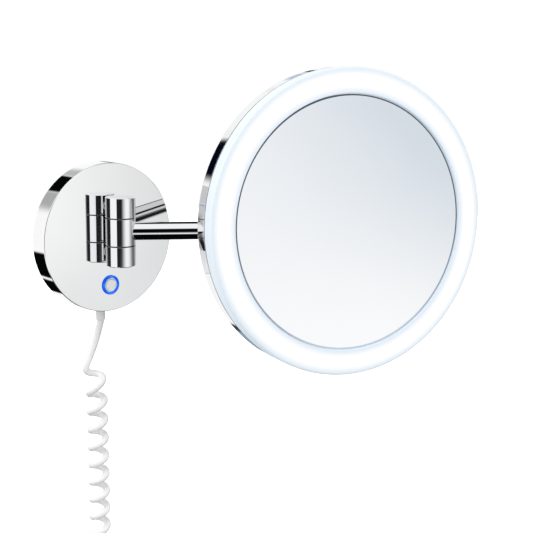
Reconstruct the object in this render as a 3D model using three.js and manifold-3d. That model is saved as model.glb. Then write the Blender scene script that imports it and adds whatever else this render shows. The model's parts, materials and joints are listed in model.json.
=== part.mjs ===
// Extendable shaving mirror: a wall plate with a vertical hinge barrel, a swing arm and a round lit mirror.
// Millimetres, +Z up. The origin is the centre of the back of the wall plate; the wall is the plane y = 0,
// and the object stands off it towards -Y. At rest the arm points to +X and away from the wall.
import * as THREE from 'three';
import { mergeVertices } from 'three/addons/utils/BufferGeometryUtils.js';
import { RoundedBoxGeometry } from 'three/addons/geometries/RoundedBoxGeometry.js';
import Module from 'manifold-3d';

const wasm = await Module();
wasm.setup();

// ---- driving dimensions ----
const GAP = 0.3;                 // between pieces that touch

const PLATE_RADIUS = 60.3;
const PLATE_DEPTH = 17.5;        // from the wall to the polished face
const PLATE_WALL = 1.7;
const BRACKET_THICKNESS = 1.8;
const BRACKET_RADIUS = 50;
const FIXING_SPACING = 66;       // between the two wall fixings

const HINGE_REACH = 14.7;        // barrel axis in front of the polished face
const HINGE_Z = 7.0;             // barrel centre above the plate's centre
const BARREL_RADIUS = 11.9;
const BARREL_HEIGHT = 55;
const END_KNUCKLE_HEIGHT = 16;   // top and bottom knuckles, fixed to the plate
const KNUCKLE_GROOVE = 0.9;      // space between two knuckles, which holds a washer
const STUB_OFFSET = 18.6;        // stubs above and below the barrel's centre
const STUB_RADIUS = 4.25;
const SHANK_RADIUS = 3;
const PIN_RADIUS = 3;
const BUSH_RADIUS = 4.2;

const ARM_ANGLE = 33;            // degrees from the wall's plane, at rest
const ARM_LENGTH = 164.3;        // from the barrel's axis to the tip barrel's axis
const ARM_RADIUS = 7.3;
const ARM_BORE = 5.9;

const TIP_RADIUS = 10;
const TIP_KNUCKLE_HEIGHT = 17;
const TILT_REACH = 14.8;         // tilt pin in front of the tip barrel's axis
const TILT_RISE = 9.65;           // tilt pin above the arm's axis
const TONGUE_RADIUS = 4.2;
const TONGUE_HALF_WIDTH = 4;
const TILT_PIN_RADIUS = 2;

const HEAD_YAW = 16.6;           // degrees that the mirror is turned to -X, at rest
const HEAD_TILT = 2.1;           // degrees that the mirror looks up, at rest
const HEAD_RADIUS = 120.3;
const HOUSING_BACK = 7.5;        // housing's rear face, in front of the tilt pin
const HOUSING_DEPTH = 14.35;
const HOUSING_WALL = 1.6;
const RING_DEPTH = 11.35;        // lit ring's outer wall
const RING_WALL = 2.4;
const GLASS_RADIUS = 99.6;
const GLASS_THICKNESS = 3;
const GLASS_SAG = 4;             // how deep the magnifying glass is hollowed
const GLASS_SET_BACK = 2;        // glass edge behind the ring's front

const BUTTON_X = -0.3;
const BUTTON_Z = -38.6;
const BUTTON_RING_RADIUS = 8.0;
const BUTTON_CAP_RADIUS = 5.5;
const BUTTON_TRAVEL = 0.8;

const CORD_RADIUS = 3.05;
const FERRULE = { x: -2.8, y: -5.8, top: -50.6, bottom: -69.4, radius: 4 };
const SPIRAL_RADIUS = 10.1;      // outside of the turns
const SPIRAL_TOP = -109.4;
const SPIRAL_BOTTOM = -364;
const PLUG = { relief: 18, body: 34, width: 33, thickness: 13.6, pinLength: 19, pinSpacing: 18.6 };

// Sides of a turned piece, by its size.
const SIDES = { large: 48, disc: 36, barrel: 28, small: 16, screw: 10 };

// ---- shape helpers ----
const RADIAN = Math.PI / 180;
const vec = (x, y, z) => new THREE.Vector3(x, y, z);

// Merges shared corners and drops triangles that have collapsed, such as those at a lathe's axis.
function welded(geometry) {
  geometry.deleteAttribute('normal');
  geometry.deleteAttribute('uv');
  const merged = mergeVertices(geometry, 1e-4);
  const index = merged.index.array;
  const kept = [];
  for (let i = 0; i < index.length; i += 3) {
    const [a, b, c] = [index[i], index[i + 1], index[i + 2]];
    if (a !== b && b !== c && c !== a) kept.push(a, b, c);
  }
  merged.setIndex(kept);
  return merged;
}

function solid(geometry) {
  const closed = welded(geometry);
  return new wasm.Manifold(new wasm.Mesh({
    numProp: 3,
    vertProperties: Float32Array.from(closed.attributes.position.array),
    triVerts: Uint32Array.from(closed.index.array),
  }));
}

function geometryOf(body) {
  const mesh = body.getMesh();
  const geometry = new THREE.BufferGeometry();
  geometry.setAttribute('position', new THREE.BufferAttribute(mesh.vertProperties, 3));
  geometry.setIndex(new THREE.BufferAttribute(mesh.triVerts, 1));
  return geometry;
}

const join = (first, ...others) => others.reduce((body, other) => body.add(other), first);
const cut = (first, ...others) => others.reduce((body, other) => body.subtract(other), first);

// A turned solid. The outline is a list of [radius, height]; it runs either way, and closes on itself or
// on the axis. Its height axis is +Z.
function turned(outline, sides) {
  let area = 0;
  outline.forEach(([r, h], i) => {
    const [nextR, nextH] = outline[(i + 1) % outline.length];
    area += r * nextH - nextR * h;
  });
  const points = outline.map(([r, h]) => new THREE.Vector2(r, h));
  if (area < 0) points.reverse();
  const onAxis = points[0].x === 0 && points[points.length - 1].x === 0;
  if (!onAxis) points.push(points[0].clone());
  return new THREE.LatheGeometry(points, sides).rotateX(Math.PI / 2);
}

// The same, with its height axis towards the room (-Y), so that heights are distances from the wall.
const turnedOutwards = (outline, sides) => turned(outline, sides).rotateX(Math.PI / 2);

const disc = (radius, low, high) => [[0, low], [radius, low], [radius, high], [0, high]];
const ring = (inner, outer, low, high) => [[inner, low], [outer, low], [outer, high], [inner, high]];

// Points of a quarter round from angle `start` to `end` (degrees) about [r, h].
function arc(r, h, radius, start, end, steps) {
  const points = [];
  for (let i = 0; i <= steps; i++) {
    const angle = (start + (end - start) * i / steps) * RADIAN;
    points.push([r + radius * Math.cos(angle), h + radius * Math.sin(angle)]);
  }
  return points;
}

function box(x0, x1, y0, y1, z0, z1) {
  const geometry = new THREE.BoxGeometry(x1 - x0, y1 - y0, z1 - z0);
  return geometry.translate((x0 + x1) / 2, (y0 + y1) / 2, (z0 + z1) / 2);
}

function roundedBox(x0, x1, y0, y1, z0, z1, radius) {
  const geometry = new RoundedBoxGeometry(x1 - x0, y1 - y0, z1 - z0, 1, radius);
  return geometry.translate((x0 + x1) / 2, (y0 + y1) / 2, (z0 + z1) / 2);
}

// A hexagon nut whose axis is -Y, between two distances from the wall.
function hexNut(acrossFlats, bore, low, high, boreSides) {
  const nut = turnedOutwards(disc(acrossFlats / Math.sqrt(3), low, high), 6);
  return cut(solid(nut), solid(turnedOutwards(disc(bore, low - 1, high + 1), boreSides)));
}

// A pan-head screw whose head faces +Y (the back) and whose tip points to -Y.
function backScrew(headRadius, shankRadius, headLow, headHigh, tip) {
  return turnedOutwards([
    [0, headLow], [headRadius - 0.5, headLow], [headRadius, headLow + 0.5], [headRadius, headHigh],
    [shankRadius, headHigh], [shankRadius, tip], [0, tip],
  ], SIDES.screw);
}

function tube(points, radius, sides, steps) {
  const section = new THREE.Shape();
  for (let i = 0; i < sides; i++) {
    const angle = 2 * Math.PI * i / sides;
    const [x, y] = [radius * Math.cos(angle), radius * Math.sin(angle)];
    if (i === 0) section.moveTo(x, y);
    else section.lineTo(x, y);
  }
  section.closePath();
  const extrudePath = new THREE.CatmullRomCurve3(points);
  return new THREE.ExtrudeGeometry(section, { steps, extrudePath, bevelEnabled: false });
}

// ---- materials ----
const look = (color, roughness, metalness) => ({ color, roughness, metalness });
const LOOKS = {
  chrome: look(0xe4e6e8, 0.06, 1),
  polishedPlate: look(0xe9ebea, 0.03, 1),
  steel: look(0xb9bcc0, 0.3, 1),
  aluminium: look(0xc9ccd0, 0.4, 1),
  litAcrylic: look(0xfafdff, 0.35, 0),
  mirror: look(0xeef2f5, 0.02, 1),
  blueLight: look(0x1060ff, 0.3, 0),
  buttonCap: look(0xd0d0ce, 0.3, 1),
  whiteCord: look(0xeeeeec, 0.5, 0),
  whitePlastic: look(0xf2f2f0, 0.35, 0),
  nylon: look(0x3a3b3d, 0.6, 0),
  rubber: look(0x202124, 0.8, 0),
  board: look(0xe8ebe6, 0.5, 0),
};

function piece(name, shape, finish) {
  const geometry = shape.isBufferGeometry ? welded(shape) : geometryOf(shape);
  geometry.computeVertexNormals();
  const mesh = new THREE.Mesh(geometry, new THREE.MeshStandardMaterial(LOOKS[finish]));
  mesh.name = name;
  return mesh;
}

// ---- hinge pieces, used by both barrels; heights are along Z ----
const CHAMFER = 0.5;
const BORE_END = 3;              // solid crown over a blind bore
const WASHER_GAP = 0.25;
const WASHER_THICKNESS = KNUCKLE_GROOVE - 2 * WASHER_GAP;

// A knuckle whose bore is open below; `bore` is a list of [radius, height it reaches up to].
function knuckle(radius, height, bore) {
  const outline = [
    [radius - CHAMFER, height], [radius, height - CHAMFER], [radius, CHAMFER], [radius - CHAMFER, 0],
  ];
  const inside = [];
  bore.forEach(([r, top], i) => {
    inside.push([r, i === 0 ? 0 : bore[i - 1][1]], [r, top]);
  });
  const last = bore[bore.length - 1][1];
  const crown = last < height ? [[0, last], [0, height]] : [];
  return turned([...inside, ...crown, ...outline], SIDES.barrel);
}

function headedPin(radius, length, headRadius, headHeight, sides) {
  return turned([
    [0, 0], [headRadius, 0], [headRadius, headHeight], [radius, headHeight], [radius, length], [0, length],
  ], sides);
}

// ---- the wall unit ----
const HINGE_Y = -(PLATE_DEPTH + HINGE_REACH);
const BARREL_LOW = HINGE_Z - BARREL_HEIGHT / 2;
const PIN_HEAD = { radius: 6, height: 2, recess: 3 };
const STUB_HEIGHTS = { upper: HINGE_Z + STUB_OFFSET, lower: HINGE_Z - STUB_OFFSET };

const alongWall = (radius, low, high, x, z, sides) =>
  turnedOutwards(disc(radius, low, high), sides).translate(x, 0, z);

function plateCover() {
  const inner = PLATE_RADIUS - PLATE_WALL;
  const edge = 0.7;
  const shell = turnedOutwards([
    [0, PLATE_DEPTH - PLATE_WALL], [inner, PLATE_DEPTH - PLATE_WALL], [inner, 0], [PLATE_RADIUS, 0],
    ...arc(PLATE_RADIUS - edge, PLATE_DEPTH - edge, edge, 0, 90, 2), [0, PLATE_DEPTH],
  ], SIDES.large);
  const throughFace = (radius, x, z, sides) =>
    alongWall(radius, PLATE_DEPTH - 4, PLATE_DEPTH + 1, x, z, sides);
  const cordHole = turned(disc(FERRULE.radius + GAP, -PLATE_RADIUS - 2, -PLATE_RADIUS + 5), SIDES.small);
  const holes = [
    ...Object.values(STUB_HEIGHTS).map((z) => throughFace(SHANK_RADIUS + GAP, 0, z, SIDES.screw)),
    throughFace(BUTTON_RING_RADIUS - 0.7, BUTTON_X, BUTTON_Z, SIDES.barrel),
    cordHole.translate(FERRULE.x, FERRULE.y, 0),
    radialCylinder(GRUB.radius + GAP, PLATE_RADIUS - 5, PLATE_RADIUS + 2),
  ];
  return cut(solid(shell), ...holes.map(solid));
}

// The cover's grub screw bears on a tab of the bracket, at the lower right of the plate.
const GRUB = { radius: 1.9, angle: -50, y: -6.5 };

function radialCylinder(radius, low, high) {
  const cylinder = turned(disc(radius, low, high), SIDES.screw).rotateY(Math.PI / 2);
  return cylinder.rotateY(-GRUB.angle * RADIAN).translate(0, GRUB.y, 0);
}

function wallBracket() {
  const plate = solid(turnedOutwards(disc(BRACKET_RADIUS, 0, BRACKET_THICKNESS), SIDES.disc));
  const reach = PLATE_RADIUS - PLATE_WALL - GAP - 0.4;
  const tab = () => join(
    solid(box(BRACKET_RADIUS - 6, reach, -BRACKET_THICKNESS, 0, -8, 8)),
    solid(box(reach - 2, reach, -11, 0, -8, 8)),
  );
  const tabs = [GRUB.angle, 90, 190].map((angle) => tab().rotate([0, -angle, 0]));
  const fixings = [-1, 1].map((side) => solid(roundedBox(
    side * FIXING_SPACING / 2 - 2.6, side * FIXING_SPACING / 2 + 2.6, -5, 3, -7, 7, 2.4)));
  const grubHole = solid(radialCylinder(GRUB.radius + GAP, PLATE_RADIUS - 8, PLATE_RADIUS));
  return cut(join(plate, ...tabs), ...fixings, grubHole);
}

function ledDriver() {
  const body = solid(roundedBox(16, 43, -14, -BRACKET_THICKNESS - GAP, -18, 22, 1.5));
  const feet = solid(box(22, 37, -BRACKET_THICKNESS - GAP - 1.6, -BRACKET_THICKNESS - GAP, -26, 30));
  const holes = [-22.5, 26.5].map((z) => solid(alongWall(1.9, 0, 8, 29.5, z, SIDES.screw)));
  return cut(join(body, feet), ...holes);
}

function terminalBlock() {
  const body = solid(box(-42, -24, -13, -BRACKET_THICKNESS - GAP, 12, 34));
  const entries = [17, 23, 29].map((z) => solid(box(-38, -20, -9.5, -5.5, z - 2, z + 2)));
  return cut(body, ...entries);
}

function hingeBackplate() {
  const low = PLATE_DEPTH - PLATE_WALL - GAP - 1.6;
  const plate = solid(box(-9, 9, -low - 1.6, -low, STUB_HEIGHTS.lower - 8, STUB_HEIGHTS.upper + 8));
  const holes = Object.values(STUB_HEIGHTS).map((z) =>
    solid(alongWall(SHANK_RADIUS + GAP, low - 1, low + 3, 0, z, SIDES.screw)));
  return cut(plate, ...holes);
}

// A stub's collar stands between the plate and its knuckle; its shank runs through the plate to a nut.
function hingeStub(z) {
  const stub = solid(turnedOutwards([
    [0, 7.5], [SHANK_RADIUS, 7.5], [SHANK_RADIUS, PLATE_DEPTH + GAP], [STUB_RADIUS, PLATE_DEPTH + GAP],
    [STUB_RADIUS, PLATE_DEPTH + HINGE_REACH], [0, PLATE_DEPTH + HINGE_REACH],
  ], SIDES.small).translate(0, 0, z));
  const saddle = turned(disc(BARREL_RADIUS + GAP, z - 12, z + 12), SIDES.barrel).translate(0, HINGE_Y, 0);
  return cut(stub, solid(saddle));
}

function wallUnit() {
  const unit = new THREE.Group();
  const add = (...args) => unit.add(piece(...args));
  const inner = PLATE_RADIUS - PLATE_WALL;
  add('wall_bracket', wallBracket(), 'steel');
  add('plate_cover', plateCover(), 'polishedPlate');
  add('cover_grub_screw', radialCylinder(GRUB.radius, inner - 4.5, PLATE_RADIUS - 0.6), 'steel');
  add('led_driver', ledDriver(), 'whitePlastic');
  [-22.5, 26.5].forEach((z, i) => {
    const screw = backScrew(3, 1.6, 0, 1.8, 3.6).rotateZ(Math.PI).translate(29.5, -7.6, z);
    add(['driver_screw_lower', 'driver_screw_upper'][i], screw, 'steel');
  });
  add('terminal_block', terminalBlock(), 'whitePlastic');
  add('hinge_backplate', hingeBackplate(), 'steel');
  const nutTop = PLATE_DEPTH - PLATE_WALL - 2 * GAP - 1.6;
  for (const [side, z] of Object.entries(STUB_HEIGHTS)) {
    const nut = hexNut(10, SHANK_RADIUS + GAP, nutTop - 4.5, nutTop, SIDES.screw);
    add(`hinge_stub_${side}`, hingeStub(z), 'chrome');
    add(`stub_nut_${side}`, nut.translate([0, 0, z]), 'steel');
  }
  const blind = [[PIN_RADIUS + GAP, END_KNUCKLE_HEIGHT - BORE_END]];
  const recessed = [[PIN_HEAD.radius + GAP, PIN_HEAD.recess], [PIN_RADIUS + GAP, END_KNUCKLE_HEIGHT]];
  const upperLow = BARREL_LOW + BARREL_HEIGHT - END_KNUCKLE_HEIGHT;
  const pinLow = BARREL_LOW + PIN_HEAD.recess - GAP - PIN_HEAD.height;
  const pinLength = upperLow + END_KNUCKLE_HEIGHT - BORE_END - GAP - pinLow;
  add('hinge_knuckle_upper',
    knuckle(BARREL_RADIUS, END_KNUCKLE_HEIGHT, blind).translate(0, HINGE_Y, upperLow), 'chrome');
  add('hinge_knuckle_lower',
    knuckle(BARREL_RADIUS, END_KNUCKLE_HEIGHT, recessed).translate(0, HINGE_Y, BARREL_LOW), 'chrome');
  add('hinge_pin', headedPin(PIN_RADIUS, pinLength, PIN_HEAD.radius, PIN_HEAD.height, SIDES.small)
    .translate(0, HINGE_Y, pinLow), 'steel');
  const washer = ring(PIN_RADIUS + GAP, BARREL_RADIUS - 0.7, 0, WASHER_THICKNESS);
  [['lower', BARREL_LOW + END_KNUCKLE_HEIGHT], ['upper', upperLow - KNUCKLE_GROOVE]].forEach(([side, z]) => {
    add(`hinge_washer_${side}`, turned(washer, SIDES.small).translate(0, HINGE_Y, z + WASHER_GAP), 'nylon');
  });
  return unit;
}

// ---- the ring-lit button ----
function buttonUnit() {
  const unit = new THREE.Group();
  unit.position.set(BUTTON_X, 0, BUTTON_Z);
  const add = (...args) => unit.add(piece(...args));
  const flange = PLATE_DEPTH + GAP;
  const front = flange + 0.6;
  const inside = PLATE_DEPTH - PLATE_WALL;
  add('button_light_ring', turnedOutwards([
    [BUTTON_CAP_RADIUS + GAP, 9.5], [BUTTON_RING_RADIUS - 1, 9.5], [BUTTON_RING_RADIUS - 1, flange],
    [BUTTON_RING_RADIUS, flange], [BUTTON_RING_RADIUS, front - 0.2], [BUTTON_RING_RADIUS - 0.2, front],
    [BUTTON_CAP_RADIUS + GAP, front],
  ], SIDES.barrel), 'blueLight');
  const domeTop = 11.5;
  const capLow = domeTop + GAP + BUTTON_TRAVEL;
  add('button_cap', turnedOutwards([
    [0, capLow], [BUTTON_CAP_RADIUS, capLow], [BUTTON_CAP_RADIUS, front - 0.4],
    [BUTTON_CAP_RADIUS - 0.2, front - 0.2], [0, front - 0.2],
  ], SIDES.barrel), 'buttonCap');
  add('return_dome', turnedOutwards([[0, 9.5], [4.6, 9.5], [3.6, 11], [0, domeTop]], SIDES.screw), 'rubber');
  const nutBore = BUTTON_RING_RADIUS - 1 + GAP;
  add('switch_nut', hexNut(22, nutBore, inside - 3.3, inside - GAP, SIDES.barrel), 'steel');
  add('switch_body', turnedOutwards(disc(BUTTON_RING_RADIUS, 3.6, 9.2), SIDES.small), 'rubber');
  return unit;
}

// ---- the swing arm; its own frame has +X along the tube ----
function armUnit() {
  const unit = new THREE.Group();
  unit.position.set(0, HINGE_Y, HINGE_Z);
  unit.rotation.z = -ARM_ANGLE * RADIAN;
  const add = (...args) => unit.add(piece(...args));
  const height = BARREL_HEIGHT - 2 * (END_KNUCKLE_HEIGHT + KNUCKLE_GROOVE);
  const bushLength = height / 2 - 1;
  add('hinge_knuckle_middle',
    knuckle(BARREL_RADIUS, height, [[BUSH_RADIUS + GAP, height]]).translate(0, 0, -height / 2), 'chrome');
  const bush = ring(PIN_RADIUS + GAP, BUSH_RADIUS, 0, bushLength);
  add('hinge_bush_lower', turned(bush, SIDES.small).translate(0, 0, -height / 2 + 0.4), 'nylon');
  add('hinge_bush_upper', turned(bush, SIDES.small).translate(0, 0, height / 2 - 0.4 - bushLength), 'nylon');

  const rod = solid(turned(ring(ARM_BORE, ARM_RADIUS, 0, ARM_LENGTH), 24).rotateY(Math.PI / 2));
  const wallSaddle = solid(turned(disc(BARREL_RADIUS + GAP, -12, 12), SIDES.barrel));
  const tipSaddle = solid(turned(disc(TIP_RADIUS + GAP, -12, 12), SIDES.barrel).translate(ARM_LENGTH, 0, 0));
  add('arm_tube', cut(rod, wallSaddle, tipSaddle), 'chrome');
  add('tip_knuckle_lower', knuckle(TIP_RADIUS, TIP_KNUCKLE_HEIGHT,
    [[PIN_HEAD.radius - 1 + GAP, PIN_HEAD.recess], [PIN_RADIUS + GAP, TIP_KNUCKLE_HEIGHT]])
    .translate(ARM_LENGTH, 0, -TIP_KNUCKLE_HEIGHT / 2), 'chrome');
  return unit;
}

// ---- the yoke between arm and mirror; its own frame has -Y towards the mirror ----
const TIP_LOW = -TIP_KNUCKLE_HEIGHT / 2;
const YOKE_LOW = TIP_LOW + TIP_KNUCKLE_HEIGHT + KNUCKLE_GROOVE;

function tipKnuckleUpper() {
  const swivelBore = [[PIN_RADIUS + GAP, TIP_KNUCKLE_HEIGHT - BORE_END]];
  const barrel = solid(knuckle(TIP_RADIUS, TIP_KNUCKLE_HEIGHT, swivelBore).translate(0, 0, YOKE_LOW));
  // Side view of the tongue: u is the distance towards the mirror, z is the height.
  const side = new THREE.Shape();
  side.moveTo(TIP_RADIUS - 4, YOKE_LOW);
  side.lineTo(TILT_REACH - TONGUE_RADIUS, YOKE_LOW);
  side.absarc(TILT_REACH, TILT_RISE, TONGUE_RADIUS, Math.PI, 2 * Math.PI + 0.35 * Math.PI, false);
  side.lineTo(TIP_RADIUS - 1, YOKE_LOW + 12);
  side.lineTo(TIP_RADIUS - 4, YOKE_LOW + 12);
  side.closePath();
  const plate = new THREE.ExtrudeGeometry(side, {
    depth: 2 * TONGUE_HALF_WIDTH, bevelEnabled: false, curveSegments: 8,
  });
  sideOn(plate).translate(TONGUE_HALF_WIDTH, 0, 0);
  const pinBore = solid(acrossCylinder(TILT_PIN_RADIUS + GAP, -10, 10).translate(0, -TILT_REACH, TILT_RISE));
  return cut(join(barrel, solid(plate)), pinBore);
}

// Turns an extruded side view, drawn as [distance towards -Y, height], upright: its depth runs to -X.
function sideOn(geometry) {
  return geometry.rotateX(Math.PI / 2).rotateZ(-Math.PI / 2);
}

// A cylinder whose axis is X.
const acrossCylinder = (radius, low, high) =>
  turned(disc(radius, low, high), SIDES.screw).rotateY(Math.PI / 2);

function yokeUnit() {
  const unit = new THREE.Group();
  const angle = ARM_ANGLE * RADIAN;
  unit.position.set(ARM_LENGTH * Math.cos(angle), HINGE_Y - ARM_LENGTH * Math.sin(angle), HINGE_Z);
  unit.rotation.z = -HEAD_YAW * RADIAN;
  const add = (...args) => unit.add(piece(...args));
  add('tip_knuckle_upper', tipKnuckleUpper(), 'chrome');
  const pinFoot = TIP_LOW + PIN_HEAD.recess - GAP - PIN_HEAD.height;
  const pinTop = YOKE_LOW + TIP_KNUCKLE_HEIGHT - BORE_END - GAP;
  add('swivel_pin', headedPin(PIN_RADIUS, pinTop - pinFoot, PIN_HEAD.radius - 1, PIN_HEAD.height, SIDES.small)
    .translate(0, 0, pinFoot), 'steel');
  const washer = ring(PIN_RADIUS + GAP, TIP_RADIUS - 0.7, 0, WASHER_THICKNESS);
  add('swivel_washer', turned(washer, SIDES.small)
    .translate(0, 0, YOKE_LOW - KNUCKLE_GROOVE + WASHER_GAP), 'nylon');
  unit.add(headUnit());
  return unit;
}

// ---- the mirror head; its own frame has the tilt pin at the origin and -Y as the way it looks ----
const HOUSING_FRONT = HOUSING_BACK + HOUSING_DEPTH;
const RING_LOW = HOUSING_FRONT + GAP;
const RING_FRONT = RING_LOW + RING_DEPTH;
const GLASS_EDGE = RING_FRONT - GLASS_SET_BACK;
const EAR_INNER = TONGUE_HALF_WIDTH + 1.1;
const EAR_OUTER = EAR_INNER + 3;
const FLANGE = { back: 5.2, front: 7.2, radius: 20, screwX: 14, screwZ: 9 };

// The distance in front of the tilt pin of a surface that lies `behind` the glass front, at a radius.
function glassDepth(radius, behind) {
  const curve = (GLASS_RADIUS ** 2 + GLASS_SAG ** 2) / (2 * GLASS_SAG);
  const hollow = Math.sqrt(curve ** 2 - radius ** 2) - (curve - GLASS_SAG);
  return GLASS_EDGE - hollow - behind;
}

function glassOutline() {
  const radii = [0, 0.4, 0.75, 1].map((part) => part * GLASS_RADIUS);
  const front = radii.map((r) => [r, glassDepth(r, 0)]);
  const back = radii.map((r) => [r, glassDepth(r, GLASS_THICKNESS)]).reverse();
  return [...front, ...back];
}

function tiltBracket() {
  const flange = solid(turnedOutwards(disc(FLANGE.radius, FLANGE.back, FLANGE.front), SIDES.barrel));
  const outline = new THREE.Shape();
  outline.moveTo(FLANGE.front - 0.5, -TONGUE_RADIUS - 1.5);
  outline.absarc(0, 0, TONGUE_RADIUS, -0.42 * Math.PI, 0.42 * Math.PI - 2 * Math.PI, true);
  outline.lineTo(FLANGE.front - 0.5, TONGUE_RADIUS + 1.5);
  outline.closePath();
  const ears = [-EAR_INNER, EAR_OUTER].map((x) => {
    const ear = new THREE.ExtrudeGeometry(outline, {
      depth: EAR_OUTER - EAR_INNER, bevelEnabled: false, curveSegments: 10,
    });
    return solid(sideOn(ear).translate(x, 0, 0));
  });
  const bore = solid(acrossCylinder(TILT_PIN_RADIUS + GAP, -12, 12));
  const holes = flangeCorners().map(([x, z]) => solid(alongWall(1.6 + GAP, 3, 9, x, z, SIDES.screw)));
  return cut(join(flange, ...ears), bore, ...holes);
}

function flangeCorners() {
  const corners = [];
  for (const x of [-FLANGE.screwX, FLANGE.screwX]) {
    for (const z of [-FLANGE.screwZ, FLANGE.screwZ]) corners.push([x, z]);
  }
  return corners;
}

function headHousing() {
  const inner = HEAD_RADIUS - HOUSING_WALL;
  const edge = 1.5;
  const shell = solid(turnedOutwards([
    [0, HOUSING_BACK], ...arc(HEAD_RADIUS - edge, HOUSING_BACK + edge, edge, -90, 0, 3),
    [HEAD_RADIUS, HOUSING_FRONT], [inner, HOUSING_FRONT], [inner, HOUSING_BACK + HOUSING_WALL],
    [0, HOUSING_BACK + HOUSING_WALL],
  ], SIDES.large));
  const holes = flangeCorners().map(([x, z]) =>
    solid(alongWall(1.6 + GAP, HOUSING_BACK - 1, HOUSING_BACK + 4, x, z, SIDES.screw)));
  return cut(shell, ...holes);
}

function lightRing() {
  const edge = 2;
  const inner = GLASS_RADIUS + 0.5;
  return turnedOutwards([
    [HEAD_RADIUS - RING_WALL, RING_LOW], [HEAD_RADIUS, RING_LOW],
    ...arc(HEAD_RADIUS - edge, RING_FRONT - edge, edge, 0, 90, 3),
    [inner + 0.5, RING_FRONT], [inner, RING_FRONT - 0.5], [inner, RING_FRONT - 6],
    [inner + RING_WALL, RING_FRONT - 6], [inner + RING_WALL, RING_FRONT - RING_WALL],
    [HEAD_RADIUS - RING_WALL, RING_FRONT - RING_WALL],
  ], SIDES.large);
}

function headUnit() {
  const unit = new THREE.Group();
  unit.position.set(0, -TILT_REACH, TILT_RISE);
  unit.rotation.x = -HEAD_TILT * RADIAN;
  const add = (...args) => unit.add(piece(...args));

  add('tilt_bracket', tiltBracket(), 'chrome');
  const boltHead = EAR_OUTER + GAP;
  add('tilt_bolt', turned([
    [0, -boltHead - 2], [3.4, -boltHead - 2], [3.4, -boltHead], [TILT_PIN_RADIUS, -boltHead],
    [TILT_PIN_RADIUS, EAR_OUTER + 3.2], [0, EAR_OUTER + 3.2],
  ], SIDES.small).rotateY(Math.PI / 2), 'steel');
  const nut = cut(
    solid(turned(disc(7 / Math.sqrt(3), boltHead, boltHead + 2.4), 6)),
    solid(turned(disc(TILT_PIN_RADIUS + GAP, boltHead - 1, boltHead + 4), SIDES.small)),
  );
  add('tilt_nut', geometryOf(nut).rotateY(Math.PI / 2), 'steel');
  const washer = ring(TILT_PIN_RADIUS + GAP, TONGUE_RADIUS - 0.2, TONGUE_HALF_WIDTH + GAP, EAR_INNER - GAP);
  add('tilt_washer_right', turned(washer, SIDES.small).rotateY(Math.PI / 2), 'nylon');
  add('tilt_washer_left', turned(washer, SIDES.small).rotateY(-Math.PI / 2), 'nylon');
  flangeCorners().forEach(([x, z], i) => {
    const screw = backScrew(2.9, 1.6, FLANGE.back - GAP - 1.7, FLANGE.back - GAP, 12.2);
    add(`bracket_screw_${i + 1}`, screw.translate(x, 0, z), 'steel');
  });

  const inside = HOUSING_BACK + HOUSING_WALL + GAP;
  const nutPlate = solid(box(-19, 19, -inside - 2, -inside, -13, 13));
  const nutHoles = flangeCorners().map(([x, z]) =>
    solid(alongWall(1.6 + GAP, inside - 1, inside + 4, x, z, SIDES.screw)));
  add('bracket_nut_plate', cut(nutPlate, ...nutHoles), 'steel');

  add('head_housing', headHousing(), 'chrome');
  const shelf = HOUSING_FRONT - 4;
  const spacer = ring(2.2, 5, inside, shelf - GAP);
  for (let i = 0; i < 3; i++) {
    const angle = (90 + 120 * i) * RADIAN;
    const post = turnedOutwards(spacer, SIDES.screw).translate(70 * Math.cos(angle), 0, 70 * Math.sin(angle));
    add(`plate_spacer_${i + 1}`, post, 'aluminium');
  }
  const backPlate = disc(HEAD_RADIUS - HOUSING_WALL - 1, shelf, shelf + 1.5);
  add('back_plate', turnedOutwards(backPlate, SIDES.disc), 'aluminium');
  const top = shelf + 1.5 + GAP;
  add('led_ring_board', turnedOutwards(ring(104, 115, top, top + 1.4), SIDES.disc), 'board');
  const carrierInner = 0.86 * GLASS_RADIUS;
  add('glass_carrier', turnedOutwards([
    [carrierInner, top], [GLASS_RADIUS - 2, top],
    [GLASS_RADIUS - 2, glassDepth(GLASS_RADIUS - 2, GLASS_THICKNESS + GAP)],
    [carrierInner, glassDepth(carrierInner, GLASS_THICKNESS + GAP)],
  ], SIDES.disc), 'whitePlastic');
  const padInner = 0.45 * GLASS_RADIUS;
  add('glass_pad', turnedOutwards(
    ring(padInner, padInner + 18, top, glassDepth(padInner, GLASS_THICKNESS + GAP)), SIDES.barrel), 'rubber');
  add('light_ring', lightRing(), 'litAcrylic');
  add('mirror_glass', turnedOutwards(glassOutline(), SIDES.large), 'mirror');
  return unit;
}

// ---- the cord: a straight lead, a curly stretch, a short tail and a flat two-pin plug ----
// The lead's route, chosen by hand: it hangs out of the ferrule and bends to the side of the spiral.
const LEAD_ROUTE = [
  [-2.8, -5.8, -69.8], [-2.9, -5.8, -71.5], [-4.3, -5.7, -76], [-5.6, -5.7, -80], [-7.1, -5.6, -84.3],
  [-9.1, -5.6, -89.5], [-11.6, -5.6, -95], [-14.2, -5.6, -100], [-16.4, -5.7, -104], [-17.6, -5.8, -106.8],
  [-18, -5.8, -108.8],
];
// The spiral's centre line.
const SPIRAL_AXIS = [
  [-12.4, -10.6, SPIRAL_TOP], [-11.6, -10.6, -118], [-10.4, -10.6, -132], [-10.1, -10.6, -170],
  [-9.6, -10.6, -230], [-9.0, -10.6, -300], [-8.4, -10.6, SPIRAL_BOTTOM],
];
const points = (route) => route.map(([x, y, z]) => vec(x, y, z));

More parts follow.
